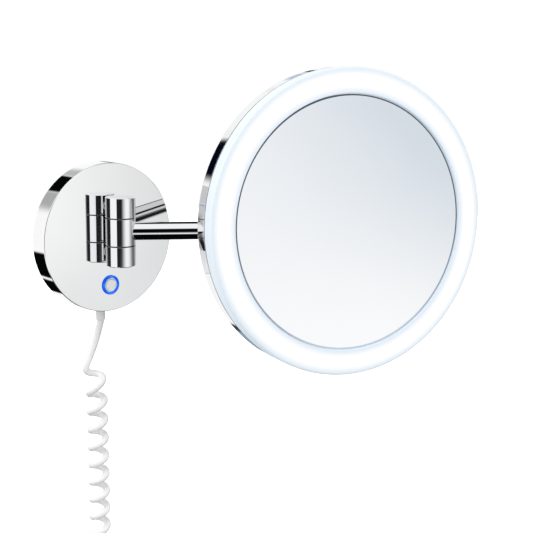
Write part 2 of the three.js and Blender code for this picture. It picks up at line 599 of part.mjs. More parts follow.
function cordUnit() {
  const unit = new THREE.Group();
  const add = (...args) => unit.add(piece(...args));
  const { x, y, top, bottom, radius } = FERRULE;
  add('cord_ferrule', turned([
    [0, top], [radius, top], [radius, bottom + 4], [CORD_RADIUS + 0.4, bottom], [0, bottom],
  ], SIDES.small).translate(x, y, 0), 'whitePlastic');
  add('cord_lead', tube(points(LEAD_ROUTE), CORD_RADIUS, 10, 20), 'whiteCord');
  add('cord_spiral', tube(points(SPIRAL_AXIS), SPIRAL_RADIUS, 12, 12), 'whiteCord');
  const [plugX, plugY] = SPIRAL_AXIS[SPIRAL_AXIS.length - 1];
  const tailTop = SPIRAL_BOTTOM - GAP;
  const reliefTop = tailTop - 20;
  const tail = [vec(plugX, plugY, tailTop), vec(plugX, plugY, reliefTop + GAP)];
  add('cord_tail', tube(tail, CORD_RADIUS, 10, 2), 'whiteCord');

  const bodyTop = reliefTop - PLUG.relief;
  add('plug_relief', turned([
    [0, reliefTop], [CORD_RADIUS + 0.4, reliefTop], [4.6, bodyTop + GAP], [0, bodyTop + GAP],
  ], SIDES.small).translate(plugX, plugY, 0), 'whitePlastic');
  const bodyLow = bodyTop - PLUG.body;
  const half = PLUG.width / 2;
  const outline = new THREE.Shape();
  outline.moveTo(-7, bodyTop);
  outline.lineTo(-half + 2, bodyTop - 12);
  outline.lineTo(-half, bodyTop - 18);
  outline.lineTo(-half + 1, bodyLow);
  outline.lineTo(half - 1, bodyLow);
  outline.lineTo(half, bodyTop - 18);
  outline.lineTo(half - 2, bodyTop - 12);
  outline.lineTo(7, bodyTop);
  outline.closePath();
  const body = new THREE.ExtrudeGeometry(outline, { depth: PLUG.thickness, bevelEnabled: false });
  body.translate(0, 0, -PLUG.thickness / 2).rotateX(Math.PI / 2).translate(plugX, plugY, 0);
  add('plug_body', body, 'whitePlastic');
  ['left', 'right'].forEach((side, i) => {
    const pin = turned([
      [0, bodyLow - PLUG.pinLength], [1.2, bodyLow - PLUG.pinLength], [2, bodyLow - PLUG.pinLength + 1.5],
      [2, bodyLow - GAP], [0, bodyLow - GAP],
    ], SIDES.small);
    const offset = (i - 0.5) * PLUG.pinSpacing;
    add(`plug_pin_${side}`, pin.translate(plugX + offset, plugY, 0), 'steel');
  });
  return unit;
}

const mirror = new THREE.Group();
mirror.add(wallUnit(), buttonUnit(), armUnit(), yokeUnit(), cordUnit());

export default mirror;
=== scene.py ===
"""Looks of the extendable shaving mirror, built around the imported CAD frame.

Shapes are drawn in millimetres in local frames and scaled to metres when their mesh is made. Each local
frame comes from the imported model: the wall, the hinge barrel, the arm, the yoke and the mirror head.
"""
import json
import math

import bmesh
import bpy
from mathutils import Matrix, Vector

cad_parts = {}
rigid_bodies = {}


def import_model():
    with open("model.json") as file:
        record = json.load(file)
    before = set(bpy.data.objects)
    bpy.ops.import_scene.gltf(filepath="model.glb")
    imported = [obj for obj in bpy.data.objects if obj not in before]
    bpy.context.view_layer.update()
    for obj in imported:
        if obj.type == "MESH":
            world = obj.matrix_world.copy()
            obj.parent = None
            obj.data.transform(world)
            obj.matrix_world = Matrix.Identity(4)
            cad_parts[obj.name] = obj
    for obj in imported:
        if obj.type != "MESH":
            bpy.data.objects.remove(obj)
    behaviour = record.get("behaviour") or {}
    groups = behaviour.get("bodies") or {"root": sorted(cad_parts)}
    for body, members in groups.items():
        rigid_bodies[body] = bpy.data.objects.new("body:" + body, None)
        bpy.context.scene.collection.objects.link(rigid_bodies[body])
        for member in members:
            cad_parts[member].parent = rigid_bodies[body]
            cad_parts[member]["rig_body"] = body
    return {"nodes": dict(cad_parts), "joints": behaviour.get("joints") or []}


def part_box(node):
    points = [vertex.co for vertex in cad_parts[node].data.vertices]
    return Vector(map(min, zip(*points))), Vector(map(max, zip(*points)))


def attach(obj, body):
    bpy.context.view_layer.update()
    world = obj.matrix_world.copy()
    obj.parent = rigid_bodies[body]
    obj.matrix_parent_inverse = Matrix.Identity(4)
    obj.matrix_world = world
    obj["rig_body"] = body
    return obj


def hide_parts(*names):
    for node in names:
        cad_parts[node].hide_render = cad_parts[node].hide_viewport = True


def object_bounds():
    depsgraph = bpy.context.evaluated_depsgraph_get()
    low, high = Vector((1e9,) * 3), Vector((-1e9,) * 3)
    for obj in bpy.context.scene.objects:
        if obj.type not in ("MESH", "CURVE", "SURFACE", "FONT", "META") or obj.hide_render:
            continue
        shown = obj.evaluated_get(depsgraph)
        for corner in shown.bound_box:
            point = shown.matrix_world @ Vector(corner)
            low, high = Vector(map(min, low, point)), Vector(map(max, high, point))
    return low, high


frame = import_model()
cad_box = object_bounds()

MM = 0.001


# ---- local frames ----
def place_of(origin, x_axis, y_axis, z_axis):
    """A frame with its origin in metres and its three axes."""
    turn = Matrix((x_axis, y_axis, z_axis)).transposed().to_4x4()
    return Matrix.Translation(origin) @ turn


JOINTS = {joint["name"]: joint for joint in frame["joints"]}
UP = Vector((0, 0, 1))
X_AXIS = Vector((1, 0, 0))
SWING_PIVOT = Vector(JOINTS["arm_swing"]["pos_m"])
SWIVEL_PIVOT = Vector(JOINTS["head_swivel"]["pos_m"])
TILT_PIVOT = Vector(JOINTS["head_tilt"]["pos_m"])
ALONG_ARM = (SWIVEL_PIVOT - SWING_PIVOT).normalized()
ACROSS_HEAD = -Vector(JOINTS["head_tilt"]["axis"])
HEAD_TILT = math.radians(2.1)    # how far the mirror looks up at rest

# In WALL and HEAD, +Z points out of the wall or mirror, +Y up and +X to the right of who faces it.
WORLD = Matrix.Identity(4)
WALL = place_of(Vector(), X_AXIS, UP, X_AXIS.cross(UP))
BARREL = Matrix.Translation(SWING_PIVOT)
ARM = place_of(SWING_PIVOT, UP.cross(ALONG_ARM), UP, ALONG_ARM)
TIP = place_of(SWIVEL_PIVOT, ACROSS_HEAD, UP.cross(ACROSS_HEAD), UP)
TILT = place_of(TILT_PIVOT, ACROSS_HEAD, UP, ACROSS_HEAD.cross(UP))
HEAD = TILT @ Matrix.Rotation(-HEAD_TILT, 4, "X")
# In TILT_PIN, +Z runs along the tilt bolt, to the mirror's right.
TILT_PIN = HEAD @ Matrix.Rotation(math.pi / 2, 4, "Y")


def span(node, place):
    """Lowest and highest corner of a CAD node in a local frame, in millimetres."""
    inverse = place.inverted()
    corners = [inverse @ v.co / MM for v in frame["nodes"][node].data.vertices]
    low = Vector([min(corner[i] for corner in corners) for i in range(3)])
    high = Vector([max(corner[i] for corner in corners) for i in range(3)])
    return low, high


def turned_size(node, place):
    """Centre, radius, lowest and highest height of a turned CAD node whose axis is the frame's +Z."""
    low, high = span(node, place)
    centre = (low + high) / 2
    radius = max(high.x - low.x, high.y - low.y) / 2
    return Vector((centre.x, centre.y, 0)), radius, low.z, high.z


# ---- camera ----
CAMERA_PLACE = Vector((-0.4547, -0.6956, 0.1281))
CAMERA_AZIMUTH = math.radians(-42.73)
CAMERA_ELEVATION = math.radians(10.52)
CAMERA_ROLL = math.radians(0.83)
CAMERA_LENS = 68.52
SENSOR = 36


def make_camera():
    data = bpy.data.cameras.new("camera")
    data.sensor_width = SENSOR
    data.lens = CAMERA_LENS
    camera = bpy.data.objects.new("camera", data)
    bpy.context.scene.collection.objects.link(camera)
    azimuth, elevation = CAMERA_AZIMUTH, CAMERA_ELEVATION
    right = Vector((math.cos(azimuth), math.sin(azimuth), 0))
    back = Vector((
        math.sin(azimuth) * math.cos(elevation),
        -math.cos(azimuth) * math.cos(elevation),
        math.sin(elevation),
    ))
    camera_up = back.cross(right)
    right = right * math.cos(CAMERA_ROLL) + camera_up * math.sin(CAMERA_ROLL)
    camera.matrix_world = place_of(CAMERA_PLACE, right, back.cross(right), back)
    bpy.context.scene.camera = camera


# ---- mesh tools ----
def rounded(outline, closed, steps=5):
    """Points [x, y] of an outline of corners [x, y, fillet]: each fillet is an arc between short strips."""
    points = []
    count = len(outline)
    for i, (x, y, fillet) in enumerate(outline):
        here = Vector((x, y))
        if fillet == 0 or (not closed and i in (0, count - 1)):
            points.append(here)
            continue
        before = (Vector(outline[i - 1][:2]) - here).normalized()
        after = (Vector(outline[(i + 1) % count][:2]) - here).normalized()
        half = before.angle(after) / 2
        reach = fillet / math.tan(half)
        strip = 0.2 * fillet
        centre = here + (before + after).normalized() * (fillet / math.sin(half))
        start = here + before * reach - centre
        end = here + after * reach - centre
        turn = start.angle(end)
        points.append(here + before * (reach + strip))
        for k in range(steps + 1):
            a = math.sin((1 - k / steps) * turn) / math.sin(turn)
            b = math.sin(k / steps * turn) / math.sin(turn)
            points.append(centre + start * a + end * b)
        points.append(here + after * (reach + strip))
    return points


def mesh_of(bm, name):
    bmesh.ops.remove_doubles(bm, verts=bm.verts, dist=1e-7)
    bmesh.ops.recalc_face_normals(bm, faces=bm.faces)
    mesh = bpy.data.meshes.new(name)
    bm.to_mesh(mesh)
    bm.free()
    return mesh


def add_object(name, mesh, place):
    piece = bpy.data.objects.new(name, mesh)
    bpy.context.scene.collection.objects.link(piece)
    piece.matrix_world = place
    return piece


def smooth(piece, angle=32):
    """Smooth shading with creases sharper than `angle` degrees kept."""
    for face in piece.data.polygons:
        face.use_smooth = True
    piece.data.set_sharp_from_angle(angle=math.radians(angle))


def lathe(name, outline, place, centre=(0, 0), sides=96, closed=False, steps=5):
    """A turned solid about the place's +Z, from corners [radius, height, fillet]."""
    points = rounded(outline, closed, steps)
    bm = bmesh.new()
    rows = []
    for radius, height in points:
        if radius < 1e-6:
            rows.append([bm.verts.new((centre[0] * MM, centre[1] * MM, height * MM))] * sides)
            continue
        row = []
        for i in range(sides):
            angle = 2 * math.pi * i / sides
            x = centre[0] + radius * math.cos(angle)
            y = centre[1] + radius * math.sin(angle)
            row.append(bm.verts.new((x * MM, y * MM, height * MM)))
        rows.append(row)
    pairs = list(zip(rows, rows[1:]))
    if closed:
        pairs.append((rows[-1], rows[0]))
    for low, high in pairs:
        for i in range(sides):
            j = (i + 1) % sides
            corners = list(dict.fromkeys([low[i], low[j], high[j], high[i]]))
            if len(corners) > 2:
                bm.faces.new(corners)
    piece = add_object(name, mesh_of(bm, name), place)
    smooth(piece)
    return piece


def prism(name, outline, low, high, place, bevel=0.0, steps=6):
    """An upright solid between two heights along the place's +Z, from corners [x, y, fillet]."""
    points = rounded(outline, True, steps)
    bm = bmesh.new()
    base = [bm.verts.new((p.x * MM, p.y * MM, low * MM)) for p in points]
    top = [bm.verts.new((p.x * MM, p.y * MM, high * MM)) for p in points]
    bm.faces.new(base)
    bm.faces.new(top)
    for i in range(len(points)):
        j = (i + 1) % len(points)
        bm.faces.new([base[i], base[j], top[j], top[i]])
    if bevel:
        bm.verts.ensure_lookup_table()
        edges = [e for e in bm.edges if abs(e.verts[0].co.z - e.verts[1].co.z) < 1e-9]
        bmesh.ops.bevel(bm, geom=edges, offset=bevel * MM, segments=3, profile=0.5, affect="EDGES")
    piece = add_object(name, mesh_of(bm, name), place)
    smooth(piece)
    return piece


def rectangle(x0, x1, y0, y1, fillet=0.0):
    return [[x0, y0, fillet], [x1, y0, fillet], [x1, y1, fillet], [x0, y1, fillet]]


def circle(x, y, radius, sides=32):
    corners = []
    for i in range(sides):
        angle = 2 * math.pi * (i + 0.5) / sides
        corners.append([x + radius * math.cos(angle), y + radius * math.sin(angle), 0])
    return corners


def hexagon(x, y, across_flats):
    return circle(x, y, across_flats / math.sqrt(3), 6)


def combine(piece, others, operation):
    """Joins, cuts or intersects the piece with the others, which are used up."""
    for other in others:
        modifier = piece.modifiers.new("combine", "BOOLEAN")
        modifier.operation = operation
        modifier.solver = "EXACT"
        modifier.object = other
        bpy.context.view_layer.update()
        evaluated = piece.evaluated_get(bpy.context.evaluated_depsgraph_get())
        mesh = bpy.data.meshes.new_from_object(evaluated)
        piece.modifiers.clear()
        piece.data = mesh
        bpy.data.objects.remove(other)
    smooth(piece)
    return piece


# Two bodies and a node that swing in front of the plate, and that no reflection shows.
UNSEEN_IN_CHROME = ("yoke", "mirror_head", "tip_knuckle_lower")


def settle(piece, body, look, slot, *nodes):
    """Gives a piece its material, its body and the CAD nodes that it stands for."""
    piece.name = f"{nodes[0]}_fine"
    piece.data.materials.clear()
    piece.data.materials.append(look)
    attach(piece, body)
    if body in UNSEEN_IN_CHROME or nodes[0] in UNSEEN_IN_CHROME:
        piece.visible_glossy = False
    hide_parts(*nodes)
    return piece


def repaint(piece, look, chosen):
    """Gives another material to the faces whose centre is `chosen`, in millimetres."""
    piece.data.materials.append(look)
    index = len(piece.data.materials) - 1
    for face in piece.data.polygons:
        if chosen(face.center / MM):
            face.material_index = index


# ---- materials ----
class Look:
    """A Principled material under construction; coordinates are the piece's own, in metres."""

    def __init__(self, name, color, metallic, roughness):
        self.material = bpy.data.materials.new(name)
        self.material.use_nodes = True
        self.nodes = self.material.node_tree.nodes
        self.links = self.material.node_tree.links
        self.shader = self.nodes["Principled BSDF"]
        self.set("Base Color", (*color, 1))
        self.set("Metallic", metallic)
        self.set("Roughness", roughness)
        self.object_coordinates = self.nodes.new("ShaderNodeTexCoord").outputs["Object"]
        self.bumps = None

    def set(self, socket, value):
        self.shader.inputs[socket].default_value = value

    def stretched(self, scale):
        """The piece's coordinates, scaled along each axis."""
        mapping = self.nodes.new("ShaderNodeMapping")
        mapping.inputs["Scale"].default_value = scale
        self.links.new(self.object_coordinates, mapping.inputs["Vector"])
        return mapping.outputs["Vector"]

    def noise(self, size, detail=3, coordinates=None):
        """Noise from 0 to 1 with features of about `size` metres."""
        node = self.nodes.new("ShaderNodeTexNoise")
        node.inputs["Scale"].default_value = 1 / size
        node.inputs["Detail"].default_value = detail
        self.links.new(coordinates or self.object_coordinates, node.inputs["Vector"])
        return node.outputs["Fac"]

    def between(self, value, low, high, start=0.3, end=0.7):
        """The value remapped from start..end to low..high."""
        node = self.nodes.new("ShaderNodeMapRange")
        for socket, number in zip(("From Min", "From Max", "To Min", "To Max"), (start, end, low, high)):
            node.inputs[socket].default_value = number
        self.links.new(value, node.inputs["Value"])
        return node.outputs["Result"]

    def colors(self, value, stops):
        """A colour ramp with stops [place, (r, g, b)]."""
        node = self.nodes.new("ShaderNodeValToRGB")
        ramp = node.color_ramp
        while len(ramp.elements) < len(stops):
            ramp.elements.new(0.5)
        for element, (place, color) in zip(ramp.elements, stops):
            element.position = place
            element.color = (*color, 1)
        self.links.new(value, node.inputs["Fac"])
        return node.outputs["Color"]

    def off_axis(self):
        """Distance from the piece's own Z axis, in metres."""
        node = self.nodes.new("ShaderNodeVectorMath")
        node.operation = "LENGTH"
        self.links.new(self.stretched((1, 1, 0)), node.inputs[0])
        return node.outputs["Value"]

    def drive(self, socket, output):
        self.links.new(output, self.shader.inputs[socket])

    def paint(self, value, stops):
        self.drive("Base Color", self.colors(value, stops))

    def rough(self, value, low, high):
        self.drive("Roughness", self.between(value, low, high))

    def bump(self, value, depth, strength=1.0):
        """Adds relief of `depth` metres."""
        node = self.nodes.new("ShaderNodeBump")
        node.inputs["Distance"].default_value = depth
        node.inputs["Strength"].default_value = strength
        self.links.new(value, node.inputs["Height"])
        if self.bumps:
            self.links.new(self.bumps, node.inputs["Normal"])
        self.bumps = node.outputs["Normal"]
        self.links.new(self.bumps, self.shader.inputs["Normal"])


def chrome(name, color, smudge):
    """Bright plating: faint polishing haze, small water marks and a barely uneven surface."""
    look = Look(name, color, 1, 0.04)
    haze = look.noise(0.012, 4)
    look.rough(haze, 0.02, 0.02 + smudge)
    marks = look.noise(0.05, 5)
    darker = tuple(0.97 * c for c in color)
    look.paint(marks, [[0.35, color], [0.75, darker]])
    look.bump(look.noise(0.018, 1), 0.000004, 0.5)
    return look.material


def satin_chrome():
    """Fine-blasted chrome: a soft sheen with a faint cloud in it."""
    look = Look("satin_chrome", (0.86, 0.865, 0.875), 1, 0.3)
    look.rough(look.noise(0.0015, 3), 0.29, 0.33)
    look.paint(look.noise(0.05, 4), [[0.3, (0.855, 0.86, 0.87)], [0.7, (0.87, 0.875, 0.885)]])
    look.bump(look.noise(0.0004, 2), 0.000006, 0.4)
    return look.material


def zinc_steel():
    look = Look("zinc_steel", (0.6, 0.61, 0.63), 1, 0.3)
    grain = look.noise(0.0035, 5)
    look.rough(grain, 0.24, 0.42)
    look.paint(look.noise(0.02, 4), [
        [0.3, (0.52, 0.53, 0.56)], [0.6, (0.64, 0.65, 0.66)], [0.8, (0.68, 0.67, 0.62)],
    ])
    look.bump(look.noise(0.0006, 3), 0.00002, 0.4)
    return look.material


def rolled_aluminium():
    look = Look("rolled_aluminium", (0.75, 0.76, 0.78), 1, 0.35)
    lines = look.noise(0.02, 4, look.stretched((1, 60, 1)))
    look.rough(lines, 0.28, 0.45)
    look.bump(lines, 0.00002, 0.5)
    return look.material


def brushed_button():
    """Fine straight brushing across the button's cap."""
    look = Look("brushed_button", (0.8, 0.8, 0.79), 1, 0.35)
    lines = look.noise(0.0012, 4, look.stretched((1, 18, 1)))
    look.rough(lines, 0.24, 0.4)
    look.paint(lines, [[0.3, (0.88, 0.88, 0.87)], [0.7, (0.97, 0.97, 0.96)]])
    look.bump(lines, 0.00001, 0.6)
    return look.material


def moulded(name, color, roughness, grain, coat=0.0):
    """Moulded plastic: a faint flow pattern, a fine grain and slightly uneven gloss."""
    look = Look(name, color, 0, roughness)
    flow = look.noise(0.02, 3)
    paler = tuple(min(1, 1.04 * c) for c in color)
    darker = tuple(0.95 * c for c in color)
    look.paint(flow, [[0.3, darker], [0.7, paler]])
    look.rough(look.noise(0.004, 3), 0.85 * roughness, 1.2 * roughness)
    look.bump(look.noise(0.0004, 2), grain, 0.5)
    look.set("Coat Weight", coat)
    return look.material


def cord_sheath_painted_light():
    """Smooth white cable sheath with soft extrusion marks, and a faint glow of painted light."""
    look = Look("cord_sheath_painted_light", (0.9, 0.9, 0.895), 0, 0.38)
    look.paint(look.noise(0.006, 3), [[0.3, (0.88, 0.88, 0.875)], [0.7, (0.92, 0.92, 0.915)]])
    look.rough(look.noise(0.002, 3), 0.32, 0.46)
    look.bump(look.noise(0.0007, 2), 0.00003, 0.5)
    look.set("Subsurface Weight", 0.12)
    look.set("Subsurface Radius", (0.0012, 0.0012, 0.0011))
    # Painted light: a faint white glow that brightens the cord and its ferrule where the plate shades them.
    look.set("Emission Color", (1, 1, 0.99, 1))
    look.set("Emission Strength", 0.07)
    return look.material


def lit_acrylic():
    """White diffuser, lit from inside: its glow is brightest in the middle of its face, and painted shade
    makes it bluer and dimmer at its edges.
    """
    look = Look("lit_acrylic", (0.5, 0.52, 0.55), 0, 0.35)
    # Painted shade: the glow dims and turns blue-grey towards both edges of the ring, by distance from its
    # axis.
    look.drive("Emission Color", look.colors(look.between(look.off_axis(), 0, 1, 0.1, 0.12), [
        [0.02, (0.32, 0.39, 0.45)], [0.13, (0.45, 0.47, 0.49)], [0.32, (0.62, 0.62, 0.62)],
        [0.65, (0.62, 0.62, 0.62)], [0.84, (0.43, 0.46, 0.48)], [0.95, (0.33, 0.39, 0.44)],
        [1.0, (0.36, 0.42, 0.47)],
    ]))
    look.set("Emission Strength", 1)
    look.set("Specular IOR Level", 0.3)
    look.rough(look.noise(0.003, 3), 0.3, 0.4)
    look.bump(look.noise(0.0005, 2), 0.00001, 0.4)
    return look.material


def silvered_glass():
    """A silvered mirror, seen through slightly cool glass."""
    look = Look("silvered_glass", (0.96, 0.965, 0.975), 1, 0.015)
    look.rough(look.noise(0.04, 4), 0.005, 0.03)
    look.paint(look.noise(0.08, 2), [[0.3, (0.955, 0.96, 0.975)], [0.7, (0.965, 0.97, 0.975)]])
    look.set("Coat Weight", 0.3)
    look.set("Coat Roughness", 0.01)
    return look.material


def ground_edge_painted_light():
    """The mirror's ground and sealed edge: dark, with painted light making it paler and bluer towards the
    bottom.
    """
    look = Look("ground_edge_painted_light", (0.12, 0.15, 0.19), 0, 0.45)
    height = look.nodes.new("ShaderNodeSeparateXYZ")
    look.links.new(look.object_coordinates, height.inputs["Vector"])
    # Painted light: pale blue at the bottom of the edge, dark from the middle up.
    look.paint(look.between(height.outputs["Y"], 0, 1, -0.1, 0.02), [
        [0.0, (0.62, 0.7, 0.8)], [0.25, (0.4, 0.47, 0.56)], [0.8, (0.09, 0.12, 0.16)],
    ])
    look.bump(look.noise(0.001, 2), 0.00002, 0.4)
    return look.material


def blue_light():
    """Translucent blue plastic, lit from behind."""
    look = Look("blue_light", (0.0, 0.02, 0.12), 0, 0.35)
    look.drive("Emission Color", look.colors(look.noise(0.006, 2), [
        [0.3, (0.0, 0.06, 0.64)], [0.5, (0.003, 0.11, 0.76)], [0.7, (0.035, 0.23, 0.92)],
    ]))
    look.set("Emission Strength", 1)
    look.set("Specular IOR Level", 0.1)
    return look.material


def circuit_board():
    look = Look("circuit_board", (0.82, 0.85, 0.82), 0, 0.4)
    look.paint(look.noise(0.003, 4), [[0.4, (0.84, 0.87, 0.84)], [0.6, (0.74, 0.78, 0.74)]])
    look.bump(look.noise(0.002, 2), 0.00005, 0.5)
    return look.material


PLATE_CHROME = chrome("plate_chrome", (0.95, 0.952, 0.955), 0.012)
CHROME = chrome("bright_chrome", (0.9, 0.905, 0.915), 0.03)
SATIN_CHROME = satin_chrome()
STEEL = zinc_steel()
ALUMINIUM = rolled_aluminium()
BUTTON_METAL = brushed_button()
WHITE_PLASTIC = moulded("white_plastic", (0.84, 0.84, 0.83), 0.3, 0.00003, 0.2)
NYLON = moulded("dark_nylon", (0.05, 0.05, 0.055), 0.5, 0.00004)
RUBBER = moulded("black_rubber", (0.04, 0.04, 0.045), 0.75, 0.00006)
CORD_SHEATH_PAINTED_LIGHT = cord_sheath_painted_light()
LIT_ACRYLIC_PAINTED_SHADE = lit_acrylic()
SILVERED_GLASS = silvered_glass()
GROUND_EDGE_PAINTED_LIGHT = ground_edge_painted_light()
BLUE_LIGHT = blue_light()
BOARD = circuit_board()


# ---- the cord: the straight lead, the curls, the tail and its plug ----
CORD_DIAMETER = 6.1              # in millimetres; the route's numbers are in metres
# The lead's route, as the CAD model has it.
LEAD_ROUTE = [
    (-0.0028, -0.0058, -0.0698), (-0.0029, -0.0058, -0.0715), (-0.0043, -0.0057, -0.0760),
    (-0.0056, -0.0057, -0.0800), (-0.0071, -0.0056, -0.0843), (-0.0091, -0.0056, -0.0895),
    (-0.0116, -0.0056, -0.0950), (-0.0142, -0.0056, -0.1000), (-0.0164, -0.0057, -0.1040),
    (-0.0176, -0.0058, -0.1068), (-0.0180, -0.0058, -0.1088),
]
CURL_RADIUS = 0.00705            # of the cord's centre line
CURL_START = math.radians(138)   # where the lead meets the curls, seen from above
AXIS_X = -0.0104                 # of the curls, once clear of the lead
AXIS_TURNS = 0.7                 # how soon the first curl falls back to that axis
PITCH = 0.0153
FIRST_STRETCH = 0.0075           # the first turns' extra pitch, and how many turns it lasts
STRETCH_TURNS = 0.7
PITCH_BOTTOM = 0.0098            # the pitch closes up below the middle
MIDDLE_Z = -0.250
LEAN = 0.0052                    # how much higher the right side of the first turn lies
LEAN_TURNS = 2.6
BEND_TURNS = 0.22                # the bend between the lead and the curls takes this much of the first turn
BEND_DROP = 0.0024               # and lowers the curls by this much
BEND_PULL = 1.5                  # how far the lead's direction carries into that bend
CURL_STEPS = 28                  # points in each turn
CLOSING_TURNS = 0.45             # the last part of a turn closes in on the tail
CLOSING_DROP = 0.012             # and falls by this much
CLOSING_STEPS = 7
CLOSING_FALL = 1.3               # how late in the closing most of that fall comes
CURLS_END = 0.0095               # the last full turn stays this far above the end of the curls
EASING_ROUNDS = 12


def catmull(points, steps):
    """A smooth curve through the points, with `steps` points in each stretch."""
    points = [Vector(p) for p in points]
    ends = [2 * points[0] - points[1], *points, 2 * points[-1] - points[-2]]
    curve = []
    for a, b, c, d in zip(ends, ends[1:], ends[2:], ends[3:]):
        for k in range(steps):
            t = k / steps
            bend = 2 * a - 5 * b + 4 * c - d
            curve.append(0.5 * (2 * b + (c - a) * t + bend * t ** 2 + (3 * b - a - 3 * c + d) * t ** 3))
    curve.append(points[-1])
    return curve


def softened(points, rounds):
    """The same route with its tight corners eased; its two ends stay."""
    for _ in range(rounds):
        inner = [(a + 2 * b + c) / 4 for a, b, c in zip(points, points[1:], points[2:])]
        points = [points[0], *inner, points[-1]]
    return points


def pitch_at(turns, z):
    """How far the curls fall in a turn, after so many turns and at this height."""
    stretch = FIRST_STRETCH * math.exp(-turns / STRETCH_TURNS)
    share = max(0, (MIDDLE_Z - z) / (MIDDLE_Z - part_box("cord_spiral")[0].z))
    return PITCH + stretch + (PITCH_BOTTOM - PITCH) * share


def hermite(start, start_pull, end, end_pull, share):
    """A point on the smooth curve between two places with given pulls."""
    square = share * share
    cube = square * share
    return (
        start * (2 * cube - 3 * square + 1) + start_pull * (cube - 2 * square + share)
        + end * (3 * square - 2 * cube) + end_pull * (cube - square)
    )


def curls(bottom):
    """The curls down to above `bottom`: a right-handed helix, and the points that close it in.

    Its turns lean and stretch at the top, and close up below.
    """
    top_axis = Vector((
        LEAD_ROUTE[-1][0] - CURL_RADIUS * math.cos(CURL_START),
        LEAD_ROUTE[-1][1] - CURL_RADIUS * math.sin(CURL_START),
        LEAD_ROUTE[-1][2],
    ))
    curls_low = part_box("cord_spiral")[0].z
    end_z = curls_low + 0.001
    points = []
    turns = 0.0
    z = top_axis.z - BEND_DROP
    while z > curls_low + CURLS_END:
        lean = LEAN * math.exp(-turns / LEAN_TURNS) * (1 - math.cos(2 * math.pi * turns)) / 2
        share = (top_axis.z - z) / (top_axis.z - end_z)
        angle = CURL_START - 2 * math.pi * turns
        aside = (top_axis.x - AXIS_X) * math.exp(-turns / AXIS_TURNS)
        axis_x = AXIS_X + aside + (bottom.x - AXIS_X) * share
        axis_y = top_axis.y + (bottom.y - top_axis.y) * share
        if turns >= BEND_TURNS:
            x = axis_x + CURL_RADIUS * math.cos(angle)
            points.append(Vector((x, axis_y + CURL_RADIUS * math.sin(angle), z + lean)))
        turns += 1 / CURL_STEPS
        z -= pitch_at(turns, z) / CURL_STEPS
    # A smooth bend leads from the end of the lead into the first curl.
    lead_end = Vector(LEAD_ROUTE[-1])
    arriving = (lead_end - Vector(LEAD_ROUTE[-2])).normalized()
    leaving = (points[1] - points[0]).normalized()
    reach = (points[0] - lead_end).length
    bend = [
        hermite(lead_end, arriving * BEND_PULL * reach, points[0], leaving * reach, i / 8) for i in range(8)
    ]
    # The end turns in towards the axis and down into the tail.
    closing = []
    start = points[-1].z
    for i in range(1, CLOSING_STEPS):
        share = i / CLOSING_STEPS
        angle = CURL_START - 2 * math.pi * (turns - 1 / CURL_STEPS + CLOSING_TURNS * share)
        radius = CURL_RADIUS * (1 + math.cos(math.pi * share)) / 2
        closing.append(Vector((
            axis_x + (bottom.x - axis_x) * share + radius * math.cos(angle),
            axis_y + (bottom.y - axis_y) * share + radius * math.sin(angle),
            start - CLOSING_DROP * share ** CLOSING_FALL,
        )))
    return bend + points, closing


def cord_path():
    """The cord's middle line, from 3 mm inside the ferrule to 3 mm inside the plug's relief."""
    ferrule_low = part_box("cord_ferrule")[0]
    inside_ferrule = Vector((LEAD_ROUTE[0][0], LEAD_ROUTE[0][1], ferrule_low.z + 0.003))
    tail_low, tail_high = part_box("cord_tail")
    bottom = (tail_low + tail_high) / 2
    turning, closing = curls(bottom)
    heights = (tail_high.z - 0.007, tail_low.z + 0.006, tail_low.z - 0.003)
    end = [Vector((bottom.x, bottom.y, z)) for z in heights]
    lead = catmull([inside_ferrule, *LEAD_ROUTE], 4)
    tail = catmull([turning[-1], *closing, *end], 5)
    return softened([*lead[:-1], *turning[:-1], *tail], EASING_ROUNDS)


def make_cord():
    path = cord_path()
    curve = bpy.data.curves.new("cord", "CURVE")
    curve.dimensions = "3D"
    curve.bevel_depth = CORD_DIAMETER / 2 * MM
    curve.bevel_resolution = 5
    curve.use_fill_caps = True
    spline = curve.splines.new("POLY")
    spline.points.add(len(path) - 1)
    for point, place in zip(spline.points, path):
        point.co = (*place, 1)
    spline.use_smooth = True
    cord = bpy.data.objects.new("cord", curve)
    bpy.context.scene.collection.objects.link(cord)
    # The cord's sheath glows faintly with painted light.
    settle(cord, "wall_unit", CORD_SHEATH_PAINTED_LIGHT, "white_cord", "cord_lead", "cord_spiral", "cord_tail")


def make_ferrule():
    centre, radius, low, high = turned_size("cord_ferrule", WORLD)
    piece = lathe("cord_ferrule", [
        [0, high, 0], [radius, high, 0.2], [radius, low + 0.6, 0.3], [radius - 0.5, low, 0.2], [0, low, 0],
    ], WORLD, centre, sides=64)
    # The ferrule takes the cord's sheath, with its glow of painted light.
    return settle(piece, "wall_unit", CORD_SHEATH_PAINTED_LIGHT, "white_plastic", "cord_ferrule")


